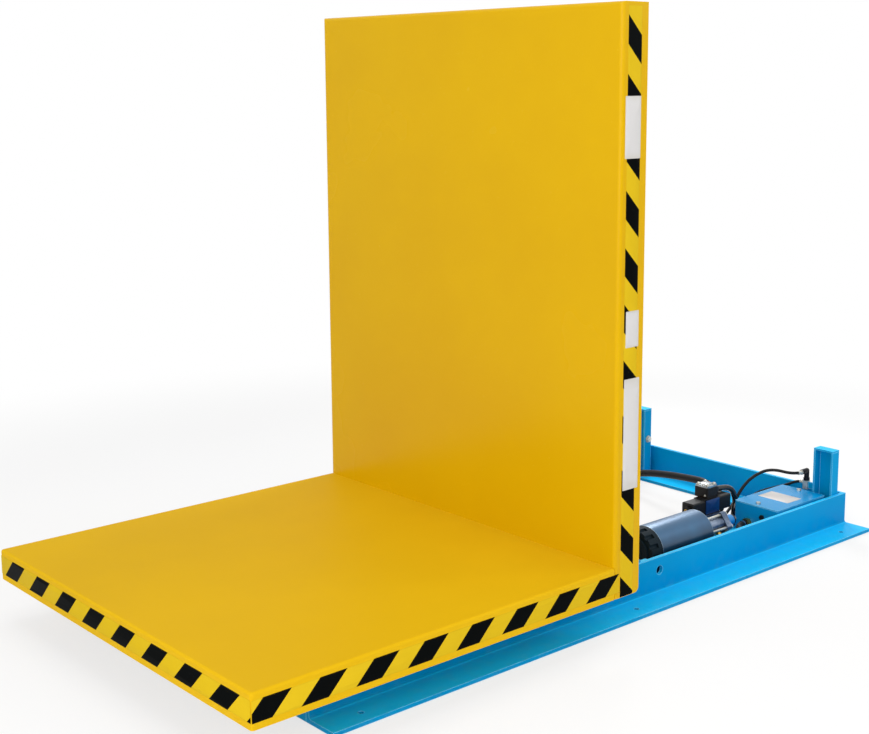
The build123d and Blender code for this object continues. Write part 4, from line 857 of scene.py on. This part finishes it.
clampLook = dict(places=[(946, -304, 48), (806, -370.7, 56.4)], band=9.0, sunk=0.4, thick=0.9, housing=14,
                 housingSeat=0.6, housingLayers=(6.0, 1.5), corner=2.0, screwSeat=3.6, screwAside=7,
                 screw=[(0, 3.0, 1), (5, 3.0, 1), (5.6, 2.4)])


# Hose clamp: a turned flat band round the hose, a slab beside it as screw housing, and a turned screw in that
def clampBand(place, way, width):
    look, centre, half = clampLook, spot(*place), clampLook["band"] / 2
    axis, first, second = crossAxes(way)
    inner, outer = width / 2 - look["sunk"], width / 2 + look["thick"]
    ringRows = [(-half, inner), (-half, outer), (half, outer), (half, inner)]
    housing = slab(centre + first * (width / 2 + look["housingSeat"]) / 1000, second, np.cross(first, second),
                   look["housing"], look["band"] + 1, look["corner"], plainLayers(*look["housingLayers"]))
    screwPlace = centre + (first * (width / 2 + look["screwSeat"]) + second * look["screwAside"]) / 1000
    return [turned(centre, axis, ringRows), housing, turned(screwPlace, second, look["screw"])]


clamps = []
for place in clampLook["places"]:
    clamps += clampBand(place, (1, 0, 0), hoseRoutes["suctionHose"]["width"])
addPiece("suctionClamps", clamps, "groundSteel", "base")

# Welds, as (start, end, size) in millimetres from the upright's loading face. The frame's are given for its far
# side and mirrored for the near one.
sideWelds = [
    ((1295, 435, 13), (1295, 435, 108), 4), ((1210, 435, 11), (1293, 435, 11), 4),
    ((-839, 435, 13), (-839, 435, 108), 4), ((-837, 435, 11), (-754, 435, 11), 4),
    ((-368, 435, 20), (-252, 435, 20), 4), ((1239, 435, 14), (1239, 435, 106), 3.5),
    ((1275, 435, 14), (1275, 435, 106), 3.5), ((1241, 363, 11), (1273, 363, 11), 4),
    ((212, 435, 38), (212, 435, 107), 4), ((332, 435, 38), (332, 435, 107), 4),
    ((1242, 363, 252), (1272, 363, 252), 2.2), ((1275, 366, 252), (1275, 432, 252), 2.2)]
lugWelds = dict(middle=200, faces=(-34.6, -20.6, 20.6, 34.6), front=-342, rear=-278, level=20, size=3.2)
# On the upright's back: (y, foot) of each arm's and lever's bead, and the ribs' stitches
armWelds = dict(x=6, top=416, size=3.5, rows=[(390.9, 140), (406.9, 140), (163.4, 210), (179.4, 210), (220.6, 210),
                                              (236.6, 210)])
stitches = dict(length=55, step=165, size=3)
uprightRibs = dict(x=6, faces=(-404.9, -392.9, -6, 6, 392.9, 404.9), foot=430, middleFoot=215, top=1560)
deckRibs = dict(z=201, faces=(-296, -284, -116, -104, 104, 116, 284, 296), front=-1090, rear=-80)

baseWelds, carriageWelds = [], []
for way in sideWays.values():
    baseWelds += [(*mirrored((start, end), way), size) for start, end, size in sideWelds]
    for face in lugWelds["faces"]:
        y = way * lugWelds["middle"] + face
        baseWelds.append(((lugWelds["front"], y, lugWelds["level"]), (lugWelds["rear"], y, lugWelds["level"]),
                          lugWelds["size"]))
    carriageWelds += [((armWelds["x"], way * y, foot), (armWelds["x"], way * y, armWelds["top"]), armWelds["size"])
                      for y, foot in armWelds["rows"]]
for y in uprightRibs["faces"]:
    foot = uprightRibs["middleFoot"] if abs(y) < 10 else uprightRibs["foot"]
    carriageWelds += [((uprightRibs["x"], y, z), (uprightRibs["x"], y, z + stitches["length"]), stitches["size"])
                      for z in np.arange(foot, uprightRibs["top"], stitches["step"])]
for y in deckRibs["faces"]:
    carriageWelds += [((x, y, deckRibs["z"]), (x + stitches["length"], y, deckRibs["z"]), stitches["size"])
                      for x in np.arange(deckRibs["front"], deckRibs["rear"], stitches["step"])]


def beads(welds):
    return [bead(spot(*start), spot(*end), size) for start, end, size in welds]


addPiece("frameWelds", beads(baseWelds), "frameBlue", "base", sharp=60)
addPiece("carriageWelds", beads(carriageWelds), "frameYellow", "carriage", sharp=60)
print("welds:", len(baseWelds) + len(carriageWelds))

# Floor and light: a wide pale floor, a white surround for the camera and for reflections, and soft lamps
floorLook = dict(reach=14.0, level=-0.001, tone=(240, 240, 240), drift=(244, 244, 244), rough=0.88, gloss=0.1,
                 shade=0.3, near=1.9, far=3.4)


def addFloor(look):
    finish = Finish("floorPale", **{"Specular IOR Level": look["gloss"]})
    drift = finish.noise(1.2, 2.0)
    finish.wire("Base Color", finish.mix(drift, look["tone"], look["drift"]))
    finish.wire("Roughness", look["rough"] + drift * 0.06)
    white = finish.node("ShaderNodeEmission", None, {"Color": (1, 1, 1, 1), "Strength": 1.0})
    seen = finish.seenRays()
    away = finish.node("ShaderNodeVectorMath", {"operation": "LENGTH"}, {0: finish.objectPlace()}, take="Value")
    nearby = finish.steps(away, look["far"], look["near"])
    share = seen * (1 - nearby * look["shade"])  # plain white, less near the object, where its shadow shows
    lit = Socket(finish, finish.shader.outputs[0])
    both = finish.node("ShaderNodeMixShader", None, {0: share, 1: lit, 2: white})
    finish.feed(finish.tree.nodes["Material Output"].inputs["Surface"], both)
    corners = look["reach"] * np.array([(-1, -1), (1, -1), (1, 1), (-1, 1)])
    mesh = bpy.data.meshes.new("floor")
    mesh.from_pydata([(x, y, look["level"]) for x, y in corners.tolist()], [], [(0, 1, 2, 3)])
    mesh.materials.append(finish.material)
    floor = bpy.data.objects.new("floor", mesh)
    scene.collection.objects.link(floor)


surroundLook = dict(light=0.5, seen=1.0)  # strength for lighting, and as the camera and reflections see it


def addSurround(look):
    world = bpy.data.worlds.new("whiteSurround")
    world.use_nodes = True
    scene.world = world
    nodes = Nodes(world.node_tree)
    background = nodes.tree.nodes["Background"].inputs
    background["Color"].default_value = (1, 1, 1, 1)
    nodes.feed(background["Strength"], look["light"] + nodes.seenRays() * (look["seen"] - look["light"]))


# Each lamp: place and aim in metres, size in metres, power in watts
lamps = {
    "keyLamp": dict(place=(-0.6, -4.7, 2.9), aim=(0, -0.3, 0.4), size=2.6, power=46),
    "topLamp": dict(place=(-1.1, -0.2, 4.8), aim=(-0.4, 0, 0.3), size=3.0, power=62),
    "frontLamp": dict(place=(-4.0, -2.9, 1.7), aim=(0, 0, 0.35), size=2.6, power=100),
    "fillLamp": dict(place=(-4.6, 0.8, 1.5), aim=(0, 0, 0.4), size=2.6, power=16),
    "rearLamp": dict(place=(1.9, 0.9, 1.6), aim=(0.65, -0.35, 0.1), size=0.6, power=18),
    "sideLamp": dict(place=(1.9, -1.9, 2.2), aim=(0.8, -0.45, 0.05), size=0.8, power=9),
}


def addLamp(name, look):
    light = bpy.data.lights.new(name, "AREA")
    light.shape = "SQUARE"
    light.size = look["size"]
    light.energy = look["power"]
    lamp = bpy.data.objects.new(name, light)
    back, right, up = crossAxes(np.array(look["place"]) - np.array(look["aim"]))
    standAt(lamp, right, up, back, look["place"])


addFloor(floorLook)
addSurround(surroundLook)
for lampName, lampLook in lamps.items():
    addLamp(lampName, lampLook)
print("floor and light set")

bpy.context.view_layer.update()
